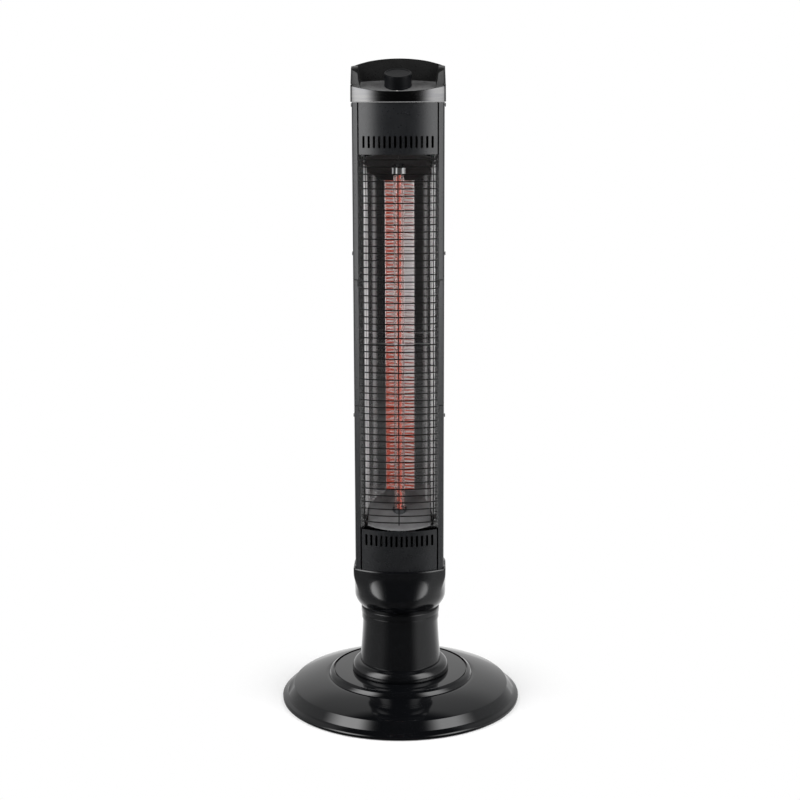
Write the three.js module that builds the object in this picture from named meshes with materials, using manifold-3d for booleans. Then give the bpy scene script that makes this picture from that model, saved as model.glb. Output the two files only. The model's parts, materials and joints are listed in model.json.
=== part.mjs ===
// Infrared patio heater tower: a wire-guarded quartz heating tube in a slim convex housing, which stands on a
// flared column and a round weighted base. Millimetres, +Z up, the front faces -Y, origin on the floor under
// the middle of the base.
import * as THREE from 'three';
import { mergeVertices } from 'three/addons/utils/BufferGeometryUtils.js';
import { ConvexGeometry } from 'three/addons/geometries/ConvexGeometry.js';
import Module from 'manifold-3d';

const wasm = await Module();
wasm.setup();

// ---------------------------------------------------------------------------------------------------------
// Driving dimensions
// ---------------------------------------------------------------------------------------------------------
const SEAT_GAP = 0.3;               // clearance between pieces that seat on each other

// base
const BASE_RADIUS = 176;
const BASE_LIP_HEIGHT = 6.5;        // top of the upright lip
const BASE_BAND_WIDTH = 16;         // plan width of the sloping band above the lip
const BASE_EDGE_RADIUS = BASE_RADIUS - BASE_BAND_WIDTH;
const BASE_EDGE_HEIGHT = 23;
const RIM_LIFT = 1;                 // the cover's rim stands this far off the floor
const DISC_RADIUS = 107;            // raised inner disc, at its foot
const DISC_FOOT_HEIGHT = 36.5;
const DISC_TOP = 42.5;
const DISC_EDGE = 8;                // width of the rounded shoulder around the disc's flat top
const DISC_STEP = 1;                // the shoulder starts this far below the flat top
const COVER_WALL = 3;
const WEIGHT_INSET = 13;            // from the base's edge to the weight's
const WEIGHT_RADIUS = BASE_RADIUS - WEIGHT_INSET;
const WEIGHT_THICKNESS = 5;
const FOOT_COUNT = 4;
const FOOT_RADIUS = 11;
const FOOT_HEIGHT = 3;
const FOOT_INSET = 30;              // from the base's edge to a foot's middle
const FOOT_RING_RADIUS = BASE_RADIUS - FOOT_INSET;
const CABLE_HOLE_RADIUS = 20;       // hole up through the base and the column's foot

// column
const COLUMN_TOP_RADIUS = 56.4;
const COLUMN_FOOT_RADIUS = 59.5;    // where the straight part meets the bulging foot
const COLUMN_CREASE_HEIGHT = 70;
const FLARE_RADIUS = 75;
const COLUMN_WALL = 3;
const COLUMN_FLANGE_BORE = 40;
const COLUMN_TOP = 146;
const BASE_SCREW_COUNT = 4;
const BASE_SCREW_RING = 56;
const BASE_SCREW_RADIUS = 2.5;

// neck ring and collar
const NECK_RING_BOTTOM = 123.5;
const NECK_RING_HEIGHT = 9;
const NECK_RING_WALL = 1.1;
const COLLAR_BOTTOM = 133;
const BEAD_HEIGHT = 8;              // rolled bead at the collar's lower rim
const BEAD_SWELL = 1.1;
const COLLAR_NECK_RADIUS = 59;
const COLLAR_BELLY_HEIGHT = 172;    // here the collar is an oval
const COLLAR_BELLY_WIDTH = 64.8;    // half of it, across
const COLLAR_BELLY_DEPTH = 67;      // half of it, front to back
const COLLAR_TOP = 209;
const COLLAR_LAP = 3;               // how far the collar stands proud of the tower
const COLLAR_WALL = 2.4;
const COLLAR_LEDGE = 6;             // ledge inside the collar that the tower stands on
const COLLAR_SCREW_RING = 42;
const COLLAR_SCREW_COUNT = 4;

// tower section
const TOWER_HALF_WIDTH = 64;
const TOWER_FRONT_Y = -60;
const TOWER_FRONT_RADIUS = 107;
const TOWER_SIDE_END_Y = -6;        // the sides run straight back to here
const TOWER_BACK_Y = 50;
const TOWER_BACK_POWER = 2.5;       // fullness of the rounded back
const TOWER_CORNER = 3;
const TOWER_BOTTOM = 203.6;
const TOWER_TOP = 874;

// sheet parts of the tower
const HOUSING_SHEET = 1.2;
const FRAME_SHEET = 1.6;
const FRAME_INNER_X = 56.2;         // inner edge of the side frame's front strip
const FRAME_REAR_Y = -13;
const PANEL_SHEET = 1.6;
const PANEL_HALF_WIDTH = 54.2;
const PANEL_RECESS = 0.8;
const PANEL_RETURN = 12;            // depth of the panels' side returns
const UPPER_PANEL_BOTTOM = 803;
const LOWER_PANEL_TOP = 269;
const CHASSIS_SHEET = 1.2;
const STRIP_SLOT_HEIGHTS = [630, 451];  // slots in the side frames where the guard's side hooks go in
const STRIP_SLOT_WIDTH = 6.3;
const STRIP_SLOT_DROP = 10;
const SLOT_GAP = 1.2;
const SIDE_SCREW_HEIGHTS = [870, 665, 433, 213];
const SIDE_SCREW_Y = -25;
const SIDE_SCREW_RADIUS = 1.6;
const SIDE_SCREW_HEAD_RADIUS = 3;
const SIDE_SCREW_HEAD_HEIGHT = 1.3;
const SIDE_SCREW_LENGTH = 3.2;

// front vents
const VENT_COUNT = 14;
const VENT_PITCH = 7.3;
const VENT_WIDTH = 3.2;
const VENT_HEIGHT = 16.4;
const UPPER_VENT_Z = 820;
const LOWER_VENT_Z = 254;

// rear vents
const REAR_VENT_ROWS = 3;
const REAR_VENT_PITCH = 10;
const REAR_VENT_WIDTH = 34;
const REAR_VENT_HEIGHT = 3.2;
const REAR_VENT_X = 22;
const REAR_VENT_HEIGHTS = [832, 258];

// wire guard
const WIRE_RADIUS = 0.9;
const WIRE_COUNT = 53;
const WIRE_TOP_Z = 796;
const WIRE_BOTTOM_Z = 281.2;
const WIRE_PITCH = (WIRE_TOP_Z - WIRE_BOTTOM_Z) / (WIRE_COUNT - 1);
const GUARD_HALF_WIDTH = 54;
const GUARD_FRONT_Y = -55.5;
const GUARD_BOW = 11;               // depth of the wires' arc
const GUARD_UPRIGHT_X = 49.5;
const CLIP_SIZE = 3;                // half width of the saddles that hold the guard
const GUARD_STEPS = 4;
const GUARD_SIDES = 4;

// reflector
const REFLECTOR_SHEET = 0.8;
const REFLECTOR_FLANGE_Y = -36.5;
const REFLECTOR_FLANGE_X = 57;
const REFLECTOR_BENDS = [[46.2, -36.5], [44.8, -8], [34.2, 9], [20.8, 18]];
const END_PLATE_SLOPE = 0.54;
const END_PLATE_SHEET = 1;

// lamp
const LAMP_Y = -18;
const TUBE_RADIUS = 7.6;
const TUBE_WALL = 1.3;
const TUBE_BOTTOM = 279;
const TUBE_TOP = 774;
const ELEMENT_RADIUS = 3;
const LAMP_CAP_RADIUS = 9.3;
const LAMP_CAP_FLANGE = 12.5;
const LAMP_FLANGE_HEIGHT = 4;
const LAMP_HOLE_CLEARANCE = 1;
const SUPPORT_Z = 535.5;            // wire that steadies the tube at mid height
const SUPPORT_WIRE = 1.2;

// cap, deck and knob
const BAND_HALF_LAP = 1.8;          // how far the bright band stands proud of the tower
const BAND_WALL = 1.6;
const BAND_SIDE_HEIGHT = 24;
const BAND_SIDE_TOP = TOWER_TOP + BAND_SIDE_HEIGHT;
const BAND_LIP = 0.4;               // how far the band's top edge stands above the deck
const DECK_TILT = THREE.MathUtils.degToRad(20);
const DECK_FRONT_Y = -58;
const DECK_FRONT_HEIGHT = 14.5;     // deck's front edge above the tower's top
const DECK_FRONT_Z = TOWER_TOP + DECK_FRONT_HEIGHT;
const DECK_BACK_Y = -20;
const DECK_HALF_WIDTH = 50;
const DECK_WALL = 3;
const CAP_HEIGHT = 60;
const CAP_TOP = TOWER_TOP + CAP_HEIGHT;
const CAP_ARCH_RISE = 12.5;         // how much the top edge arches up from its corners
const CAP_CORNER_Z = CAP_TOP - CAP_ARCH_RISE;
const CAP_CORNER_X = 61;
const CAP_CORNER_Y = -6;
const CAP_FALL = THREE.MathUtils.degToRad(9);  // slope of the cap's top down towards the back
const CAP_DRAFT = 2.4;              // how much the cap's sides lean in towards the top
const CAP_WALL = 3;
const CAP_SKIRT = 6;                // how far the cap reaches down inside the tower
const KNOB_RADIUS = 19;
const KNOB_HEIGHT = 18;
const KNOB_Y = -39;
const KNOB_GAP = 0.6;
const SHAFT_RADIUS = 3;
const SWITCH_RADIUS = 12;
const SWITCH_DEPTH = 14;

// tilt switch: a bob that hangs from a pin and a switch that it works
const TILT_X = -28;
const TILT_Y = 8;
const TILT_PIVOT_Z = 246;
const TILT_ARM = 25;                // from the pin to the bob's centre
const TILT_BOB_RADIUS = 7;
const TILT_PIN_RADIUS = 1.5;
const TILT_HALF_SPAN = 9;
const TILT_SWING = THREE.MathUtils.degToRad(20);

// terminals, thermal cut-out and the bundle of leads
const TERMINAL_X = 29;
const TERMINAL_Y = 5;
const TERMINAL_PITCH = 9;
const TERMINAL_HALF_DEPTH = 9;
const TERMINAL_HEIGHT = 12;
const TERMINAL_SCREW_RADIUS = 2.8;
const THERMAL_X = 28;
const THERMAL_Y = 8;
const THERMAL_RADIUS = 8;
const THERMAL_HEIGHT = 7;
const LOOM_HOLE_RADIUS = 8;
const LOOM_START_HEIGHT = 20;       // above the tower's bottom
const LOOM_START_GAP = 4;           // behind the terminal block
const LOOM_RISE = 12;               // between the bundle's bends
const LOOM_END_Y = -14;

// ---------------------------------------------------------------------------------------------------------
// Helpers
// ---------------------------------------------------------------------------------------------------------
const parts = new THREE.Group();

const finish = {
  glossBlack: { color: 0x08090a, roughness: 0.12, metalness: 0 },
  satinBlack: { color: 0x1b1c1e, roughness: 0.45, metalness: 0.1 },
  darkSheet: { color: 0x141516, roughness: 0.5, metalness: 0.4 },
  brightBand: { color: 0x6f7074, roughness: 0.15, metalness: 0.9 },
  polished: { color: 0xd8d9da, roughness: 0.1, metalness: 1 },
  steel: { color: 0x9a9c9f, roughness: 0.35, metalness: 0.9 },
  blackWire: { color: 0x0c0c0d, roughness: 0.4, metalness: 0.3 },
  quartz: { color: 0xe8dedb, roughness: 0.05, metalness: 0 },
  glowing: { color: 0xff5a2c, roughness: 0.6, metalness: 0 },
  ceramic: { color: 0xe6e3dc, roughness: 0.5, metalness: 0 },
  rubber: { color: 0x111111, roughness: 0.9, metalness: 0 },
  castIron: { color: 0x2b2b2c, roughness: 0.8, metalness: 0.5 },
  insulator: { color: 0x26282b, roughness: 0.6, metalness: 0 },
};

// Adds one named piece to the model.
function add(name, geometry, look) {
  const mesh = new THREE.Mesh(geometry, new THREE.MeshStandardMaterial(finish[look]));
  mesh.name = name;
  parts.add(mesh);
  return mesh;
}

// A closed solid for cutting and joining, from any closed geometry.
function solid(geometry) {
  const bare = geometry.clone();
  for (const name of Object.keys(bare.attributes)) {
    if (name !== 'position') bare.deleteAttribute(name);
  }
  const merged = mergeVertices(bare, 1e-4);
  const index = [];
  for (let i = 0; i < merged.index.count; i += 3) {
    const [a, b, c] = [0, 1, 2].map((k) => merged.index.getX(i + k));
    if (a !== b && b !== c && a !== c) index.push(a, b, c);
  }
  return new wasm.Manifold(new wasm.Mesh({
    numProp: 3,
    vertProperties: new Float32Array(merged.attributes.position.array),
    triVerts: new Uint32Array(index),
  }));
}

function fromSolid(shape) {
  const mesh = shape.getMesh();
  const geometry = new THREE.BufferGeometry();
  geometry.setAttribute('position', new THREE.BufferAttribute(new Float32Array(mesh.vertProperties), 3));
  geometry.setIndex(new THREE.BufferAttribute(new Uint32Array(mesh.triVerts), 1));
  geometry.computeVertexNormals();
  return geometry;
}

function cut(geometry, tools) {
  let shape = solid(geometry);
  for (const tool of tools) shape = shape.subtract(solid(tool));
  return fromSolid(shape);
}

function join(geometries) {
  let shape = solid(geometries[0]);
  for (const other of geometries.slice(1)) shape = shape.add(solid(other));
  return fromSolid(shape);
}

function joinEvenly(geometries) {
  let shapes = geometries.map(solid);
  while (shapes.length > 1) {
    const next = [];
    for (let i = 0; i < shapes.length; i += 2) {
      next.push(i + 1 < shapes.length ? shapes[i].add(shapes[i + 1]) : shapes[i]);
    }
    shapes = next;
  }
  return fromSolid(shapes[0]);
}

// A box given by its lowest and highest corners.
function block(low, high) {
  const size = high.map((value, i) => value - low[i]);
  const box = new THREE.BoxGeometry(...size);
  return box.translate(...low.map((value, i) => value + size[i] / 2));
}

// An upright cylinder between two heights.
function post(x, y, low, high, radius, sides = 12) {
  const cylinder = new THREE.CylinderGeometry(radius, radius, high - low, sides);
  return cylinder.rotateX(Math.PI / 2).translate(x, y, (low + high) / 2);
}

// A solid of revolution about Z, from a closed outline of [radius, height] pairs.
function turned(outline, segments) {
  const points = outline.map(([r, z]) => new THREE.Vector2(r, z));
  if (outline[0][0] > 0 || outline.at(-1)[0] > 0) points.push(points[0].clone());
  return outward(new THREE.LatheGeometry(points, segments).rotateX(Math.PI / 2));
}

// Turns a closed geometry's faces outwards if they point inwards.
function outward(geometry) {
  const position = geometry.attributes.position;
  const index = geometry.index;
  const corner = [new THREE.Vector3(), new THREE.Vector3(), new THREE.Vector3()];
  let volume = 0;
  for (let i = 0; i < index.count; i += 3) {
    corner.forEach((point, k) => point.fromBufferAttribute(position, index.getX(i + k)));
    volume += corner[0].dot(corner[1].clone().cross(corner[2]));
  }
  if (volume < 0) {
    for (let i = 0; i < index.count; i += 3) {
      const first = index.getX(i);
      index.setX(i, index.getX(i + 2));
      index.setX(i + 2, first);
    }
  }
  geometry.computeVertexNormals();
  return geometry;
}

// A loft through closed rings of equal length that comes back round to its first ring, as a hollow wall does.
function ringLoft(rings) {
  const geometry = new THREE.BufferGeometry();
  const count = rings[0].length;
  const index = [];
  rings.forEach((ring, r) => {
    const next = (r + 1) % rings.length;
    ring.forEach((point, i) => {
      const j = (i + 1) % count;
      const [a, b, c, d] = [r * count + i, r * count + j, next * count + j, next * count + i];
      index.push(a, b, c, a, c, d);
    });
  });
  const flat = rings.flat().flatMap((point) => point.toArray());
  geometry.setAttribute('position', new THREE.Float32BufferAttribute(flat, 3));
  geometry.setIndex(index);
  return outward(geometry);
}

// A straight extrusion of a flat outline between two heights.
function prism(points, low, high) {
  const shape = new THREE.Shape(points);
  return new THREE.ExtrudeGeometry(shape, { depth: high - low, bevelEnabled: false }).translate(0, 0, low);
}

// The outline of a bent sheet of even thickness, from the bends of its middle line.
function sheet(bends, thickness) {
  const left = [];
  const right = [];
  bends.forEach((point, i) => {
    const before = bends[Math.max(i - 1, 0)];
    const after = bends[Math.min(i + 1, bends.length - 1)];
    const into = point.clone().sub(i ? before : point).normalize();
    const out = after.clone().sub(i < bends.length - 1 ? point : before).normalize();
    const along = i ? (i < bends.length - 1 ? into.clone().add(out).normalize() : into) : out;
    const normal = new THREE.Vector2(-along.y, along.x);
    const flat = new THREE.Vector2(-out.y, out.x);
    const reach = thickness / 2 / Math.max(normal.dot(i && i < bends.length - 1 ? flat : normal), 0.3);
    left.push(point.clone().addScaledVector(normal, reach));
    right.unshift(point.clone().addScaledVector(normal, -reach));
  });
  return [...left, ...right];
}

const mirrorX = (point) => new THREE.Vector2(-point.x, point.y);

// Completes a half outline that starts and ends on the middle plane.
function bothSides(half) {
  return [...half, ...half.slice(1, -1).reverse().map(mirrorX)];
}

// ---------------------------------------------------------------------------------------------------------
// The tower's section, grown outwards or inwards by an offset
// ---------------------------------------------------------------------------------------------------------
const FRONT_STEPS = 5;
const CORNER_STEPS = 2;
const SIDE_STEPS = 3;
const BACK_STEPS = 6;

function frontY(x, offset = 0) {
  const centreY = TOWER_FRONT_Y + TOWER_FRONT_RADIUS;
  return centreY - Math.sqrt((TOWER_FRONT_RADIUS + offset) ** 2 - x ** 2);
}

function frontArc(fromX, toX, offset, steps) {
  return Array.from({ length: steps + 1 }, (_, i) => {
    const x = THREE.MathUtils.lerp(fromX, toX, i / steps);
    return new THREE.Vector2(x, frontY(x, offset));
  });
}

function sectionCorner(offset) {
  const width = TOWER_HALF_WIDTH + offset;
  const start = new THREE.Vector2(width - TOWER_CORNER, frontY(width - TOWER_CORNER, offset));
  const sharp = new THREE.Vector2(width, frontY(width, offset));
  const end = new THREE.Vector2(width, sharp.y + TOWER_CORNER);
  return new THREE.QuadraticBezierCurve(start, sharp, end).getPoints(CORNER_STEPS);
}

function sectionBack(offset) {
  const width = TOWER_HALF_WIDTH + offset;
  const depth = TOWER_BACK_Y - TOWER_SIDE_END_Y + offset;
  return Array.from({ length: BACK_STEPS + 1 }, (_, i) => {
    const turn = (i / BACK_STEPS) * Math.PI / 2;
    const across = i < BACK_STEPS ? Math.cos(turn) : 0;
    const along = Math.sin(turn);
    const reach = ((across / width) ** TOWER_BACK_POWER + (along / depth) ** TOWER_BACK_POWER)
      ** (-1 / TOWER_BACK_POWER);
    return new THREE.Vector2(across * reach, TOWER_SIDE_END_Y + along * reach);
  });
}

function sectionSide(offset) {
  const start = frontY(TOWER_HALF_WIDTH + offset, offset) + TOWER_CORNER;
  return Array.from({ length: SIDE_STEPS - 1 }, (_, i) => {
    const y = THREE.MathUtils.lerp(start, TOWER_SIDE_END_Y, (i + 1) / SIDE_STEPS);
    return new THREE.Vector2(TOWER_HALF_WIDTH + offset, y);
  });
}

function halfSection(offset) {
  const front = frontArc(0, TOWER_HALF_WIDTH + offset - TOWER_CORNER, offset, FRONT_STEPS);
  return [...front.slice(0, -1), ...sectionCorner(offset), ...sectionSide(offset), ...sectionBack(offset)];
}

function section(offset) {
  return bothSides(halfSection(offset));
}

const atHeight = (points, z) => points.map((point) => new THREE.Vector3(point.x, point.y, z));

// The points moved in or out, each along its own direction, onto an oval or a circle.
function ovalLike(points, halfWidth, halfDepth = halfWidth) {
  return points.map((point) => (
    point.clone().divideScalar(Math.hypot(point.x / halfWidth, point.y / halfDepth))
  ));
}

// The radius at which a ring of these points clears a true circle inside it.
function clearOf(points, radius) {
  const steps = points.map((point, i) => {
    const next = points[(i + 1) % points.length];
    return Math.acos(Math.min(1, point.dot(next) / (point.length() * next.length())));
  });
  return radius / Math.cos(Math.max(...steps) / 2);
}

// ---------------------------------------------------------------------------------------------------------
// Base
// ---------------------------------------------------------------------------------------------------------
const BASE_SEGMENTS = 36;
const WEIGHT_BOTTOM = FOOT_HEIGHT;
const WEIGHT_TOP = WEIGHT_BOTTOM + WEIGHT_THICKNESS;
const DISC_UNDERSIDE = DISC_TOP - COVER_WALL;

function onRing(radius, count, index, phase = 0.5) {
  const angle = ((index + phase) / count) * 2 * Math.PI;
  return [radius * Math.cos(angle), radius * Math.sin(angle)];
}

function baseCover() {
  const domeRun = BASE_EDGE_RADIUS - DISC_RADIUS;
  const domeDrop = DISC_FOOT_HEIGHT - BASE_EDGE_HEIGHT;
  const dome = [0.06, 0.4, 0.75].map((part) => [
    DISC_RADIUS + domeRun * part,
    DISC_FOOT_HEIGHT - domeDrop * (0.55 * part + 0.45 * part ** 2),
  ]);
  const bandRun = BASE_RADIUS - BASE_EDGE_RADIUS;
  const bandDrop = BASE_EDGE_HEIGHT - BASE_LIP_HEIGHT;
  const discEdge = DISC_RADIUS - DISC_EDGE;
  const outer = [
    [CABLE_HOLE_RADIUS, DISC_TOP],
    [discEdge, DISC_TOP],
    [discEdge + DISC_STEP, DISC_TOP - DISC_STEP],
    [discEdge + DISC_EDGE * 0.7, DISC_TOP - 2 * DISC_STEP],
    [DISC_RADIUS, DISC_FOOT_HEIGHT],
    ...dome,
    [BASE_EDGE_RADIUS, BASE_EDGE_HEIGHT],
    [BASE_EDGE_RADIUS + bandRun * 0.5, BASE_EDGE_HEIGHT - bandDrop * 0.43],
    [BASE_RADIUS, BASE_LIP_HEIGHT],
    [BASE_RADIUS, RIM_LIFT],
  ];
  const inner = [
    [BASE_RADIUS - COVER_WALL, RIM_LIFT],
    [BASE_RADIUS - COVER_WALL, BASE_LIP_HEIGHT],
    [BASE_EDGE_RADIUS, BASE_EDGE_HEIGHT - COVER_WALL * 1.25],
    [DISC_RADIUS - COVER_WALL, DISC_FOOT_HEIGHT - COVER_WALL],
    [discEdge - COVER_WALL, DISC_UNDERSIDE],
    [CABLE_HOLE_RADIUS, DISC_UNDERSIDE],
  ];
  const shell = turned([...outer, ...inner], BASE_SEGMENTS);
  const bosses = [];
  const holes = [];
  for (let i = 0; i < BASE_SCREW_COUNT; i += 1) {
    const [x, y] = onRing(BASE_SCREW_RING, BASE_SCREW_COUNT, i);
    bosses.push(post(x, y, WEIGHT_TOP + SEAT_GAP, DISC_UNDERSIDE + 1, BASE_SCREW_RADIUS * 2.4, 10));
    holes.push(post(x, y, 0, DISC_TOP + 1, BASE_SCREW_RADIUS + SEAT_GAP, 8));
  }
  return cut(join([shell, ...bosses]), holes);
}

function baseWeight() {
  const disc = turned([
    [CABLE_HOLE_RADIUS, WEIGHT_BOTTOM],
    [WEIGHT_RADIUS, WEIGHT_BOTTOM],
    [WEIGHT_RADIUS, WEIGHT_TOP],
    [CABLE_HOLE_RADIUS, WEIGHT_TOP],
  ], 32);
  const holes = [];
  for (let i = 0; i < BASE_SCREW_COUNT; i += 1) {
    const [x, y] = onRing(BASE_SCREW_RING, BASE_SCREW_COUNT, i);
    holes.push(post(x, y, 0, WEIGHT_TOP + 1, BASE_SCREW_RADIUS + SEAT_GAP, 8));
  }
  return cut(disc, holes);
}

function addBase() {
  add('base_cover', baseCover(), 'glossBlack');
  add('base_weight', baseWeight(), 'castIron');
  for (let i = 0; i < FOOT_COUNT; i += 1) {
    const [x, y] = onRing(FOOT_RING_RADIUS, FOOT_COUNT, i);
    const pad = post(x, y, 0, FOOT_HEIGHT - SEAT_GAP, FOOT_RADIUS, 14);
    add(`foot_pad_${i + 1}`, pad, 'rubber');
  }
  for (let i = 0; i < BASE_SCREW_COUNT; i += 1) {
    const [x, y] = onRing(BASE_SCREW_RING, BASE_SCREW_COUNT, i);
    const head = post(x, y, 0.6, WEIGHT_BOTTOM - SEAT_GAP, BASE_SCREW_RADIUS * 2, 8);
    const shank = post(x, y, 1, DISC_TOP + COLUMN_WALL + 5, BASE_SCREW_RADIUS, 6);
    add(`base_screw_${i + 1}`, join([head, shank]), 'steel');
  }
}

// ---------------------------------------------------------------------------------------------------------
// Column, neck ring and collar
// ---------------------------------------------------------------------------------------------------------
const COLUMN_SEGMENTS = 28;
const COLUMN_BOTTOM = DISC_TOP + SEAT_GAP;

function column() {
  const swell = FLARE_RADIUS - COLUMN_FOOT_RADIUS;
  const drop = COLUMN_CREASE_HEIGHT - COLUMN_BOTTOM;
  const bulge = (inset) => [0.15, 0.4, 0.65, 0.88].map((part) => {
    const turn = part * Math.PI / 2;
    return [
      COLUMN_FOOT_RADIUS + swell * Math.sin(turn) - inset,
      COLUMN_CREASE_HEIGHT - drop * (1 - Math.cos(turn)) - inset * 0.6,
    ];
  });
  const outer = [
    [COLUMN_TOP_RADIUS, COLUMN_TOP],
    [COLUMN_TOP_RADIUS, NECK_RING_BOTTOM],
    [
      THREE.MathUtils.lerp(COLUMN_TOP_RADIUS, COLUMN_FOOT_RADIUS, 0.45),
      THREE.MathUtils.lerp(NECK_RING_BOTTOM, COLUMN_CREASE_HEIGHT, 0.53),
    ],
    [COLUMN_FOOT_RADIUS, COLUMN_CREASE_HEIGHT],
    ...bulge(0),
    [FLARE_RADIUS, COLUMN_BOTTOM + 2.5],
    [FLARE_RADIUS - 0.8, COLUMN_BOTTOM],
  ];
  const inner = [
    [COLUMN_FLANGE_BORE, COLUMN_BOTTOM],
    [COLUMN_FLANGE_BORE, COLUMN_BOTTOM + COLUMN_WALL],
    [FLARE_RADIUS - COLUMN_WALL * 1.7, COLUMN_BOTTOM + COLUMN_WALL],
    [COLUMN_FOOT_RADIUS + swell * 0.5 - COLUMN_WALL, COLUMN_CREASE_HEIGHT - drop * 0.35],
    [COLUMN_FOOT_RADIUS - COLUMN_WALL, COLUMN_CREASE_HEIGHT - COLUMN_WALL],
    [COLUMN_TOP_RADIUS - COLUMN_WALL, COLUMN_TOP - COLUMN_WALL],
    [COLUMN_FLANGE_BORE - 6, COLUMN_TOP - COLUMN_WALL],
    [COLUMN_FLANGE_BORE - 6, COLUMN_TOP],
  ];
  const shell = turned([...outer, ...inner], COLUMN_SEGMENTS);
  const holes = [];
  for (let i = 0; i < BASE_SCREW_COUNT; i += 1) {
    const [x, y] = onRing(BASE_SCREW_RING, BASE_SCREW_COUNT, i);
    holes.push(post(x, y, DISC_TOP - 1, COLUMN_BOTTOM + COLUMN_WALL + 1, BASE_SCREW_RADIUS + SEAT_GAP, 8));
  }
  for (let i = 0; i < COLLAR_SCREW_COUNT; i += 1) {
    const [x, y] = onRing(COLLAR_SCREW_RING, COLLAR_SCREW_COUNT, i);
    holes.push(post(x, y, COLUMN_TOP - COLUMN_WALL - 1, COLUMN_TOP + 1, BASE_SCREW_RADIUS, 6));
  }
  return cut(shell, holes);
}

function neckRing() {
  const bore = COLUMN_TOP_RADIUS + SEAT_GAP;
  const outer = bore + NECK_RING_WALL;
  const top = NECK_RING_BOTTOM + NECK_RING_HEIGHT;
  return turned([
    [bore, NECK_RING_BOTTOM],
    [outer, NECK_RING_BOTTOM],
    [outer, top - 0.6],
    [outer - 0.6, top],
    [bore, top],
  ], COLUMN_SEGMENTS);
}

// The collar's wall turns from the tower's section into an oval belly, and bows in to the neck.
const COLLAR_LEDGE_TOP = TOWER_BOTTOM - SEAT_GAP;
const COLLAR_LEDGE_BOTTOM = COLLAR_LEDGE_TOP - COLLAR_WALL;
const COLLAR_NECK_TOP = COLLAR_BOTTOM + BEAD_HEIGHT + 6;

function collarWall(z, inset) {
  const tower = section(COLLAR_LAP - inset);
  const oval = (drawn) => ovalLike(
    tower,
    THREE.MathUtils.lerp(COLLAR_BELLY_WIDTH, COLLAR_NECK_RADIUS, drawn) - inset,
    THREE.MathUtils.lerp(COLLAR_BELLY_DEPTH, COLLAR_NECK_RADIUS, drawn) - inset,
  );
  if (z < COLLAR_BELLY_HEIGHT) {
    const part = (COLLAR_BELLY_HEIGHT - z) / (COLLAR_BELLY_HEIGHT - COLLAR_NECK_TOP);
    return atHeight(oval(Math.min(part, 1) ** 1.6), z);
  }
  const turned = 1 - THREE.MathUtils.smoothstep(z, COLLAR_BELLY_HEIGHT, COLLAR_LEDGE_BOTTOM);
  const belly = oval(0);
  return atHeight(tower.map((point, i) => point.clone().lerp(belly[i], turned)), z);
}

function collar() {
  const towerLoop = section(COLLAR_LAP);
  const ring = (radius, z) => atHeight(ovalLike(towerLoop, radius), z);
  const bore = clearOf(towerLoop, COLUMN_TOP_RADIUS + SEAT_GAP);
  const beadRadius = COLLAR_NECK_RADIUS + BEAD_SWELL;
  const floor = COLUMN_TOP + SEAT_GAP;
  const floorBore = COLUMN_FLANGE_BORE - 6;
  const upperHeights = [0, 0.3, 0.65].map((part) => (
    THREE.MathUtils.lerp(COLLAR_LEDGE_BOTTOM, COLLAR_BELLY_HEIGHT, part)
  ));
  const lowerHeights = [0, 0.4, 0.72, 1].map((part) => (
    THREE.MathUtils.lerp(COLLAR_BELLY_HEIGHT, COLLAR_NECK_TOP, part)
  ));
  const rings = [
    atHeight(section(COLLAR_LAP - 0.5), COLLAR_TOP),
    atHeight(section(COLLAR_LAP), COLLAR_TOP - 0.7),
    ...[...upperHeights, ...lowerHeights].map((z) => collarWall(z, 0)),
    ring(beadRadius, COLLAR_BOTTOM + BEAD_HEIGHT * 0.75),
    ring(beadRadius, COLLAR_BOTTOM + BEAD_HEIGHT * 0.25),
    ring(beadRadius - 1.4, COLLAR_BOTTOM),
    ring(bore, COLLAR_BOTTOM),
    ring(bore, floor),
    ring(floorBore, floor),
    ring(floorBore, floor + COLLAR_WALL),
    ring(COLLAR_NECK_RADIUS - COLLAR_WALL * 1.6, floor + COLLAR_WALL),
    ...[...upperHeights, ...lowerHeights.slice(0, -2)].reverse().map((z) => collarWall(z, COLLAR_WALL)),
    atHeight(section(-COLLAR_LEDGE), COLLAR_LEDGE_BOTTOM),
    atHeight(section(-COLLAR_LEDGE), COLLAR_LEDGE_TOP),
    atHeight(section(SEAT_GAP), COLLAR_LEDGE_TOP),
    atHeight(section(SEAT_GAP), COLLAR_TOP),
  ];
  const holes = [];
  for (let i = 0; i < COLLAR_SCREW_COUNT; i += 1) {
    const [x, y] = onRing(COLLAR_SCREW_RING, COLLAR_SCREW_COUNT, i);
    holes.push(post(x, y, floor - 1, floor + COLLAR_WALL + 1, BASE_SCREW_RADIUS + SEAT_GAP, 8));
  }
  return cut(ringLoft(rings), holes);
}

function addColumn() {
  add('column', column(), 'glossBlack');
  add('neck_ring', neckRing(), 'glossBlack');
  add('collar', collar(), 'glossBlack');
  const seat = COLUMN_TOP + SEAT_GAP + COLLAR_WALL + SEAT_GAP;
  for (let i = 0; i < COLLAR_SCREW_COUNT; i += 1) {
    const [x, y] = onRing(COLLAR_SCREW_RING, COLLAR_SCREW_COUNT, i);
    const head = post(x, y, seat, seat + 2.6, BASE_SCREW_RADIUS * 2, 8);
    const shank = post(x, y, COLUMN_TOP - 4 * BASE_SCREW_RADIUS, seat + 1, BASE_SCREW_RADIUS - SEAT_GAP, 6);
    add(`collar_screw_${i + 1}`, join([head, shank]), 'steel');
  }
}

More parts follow.
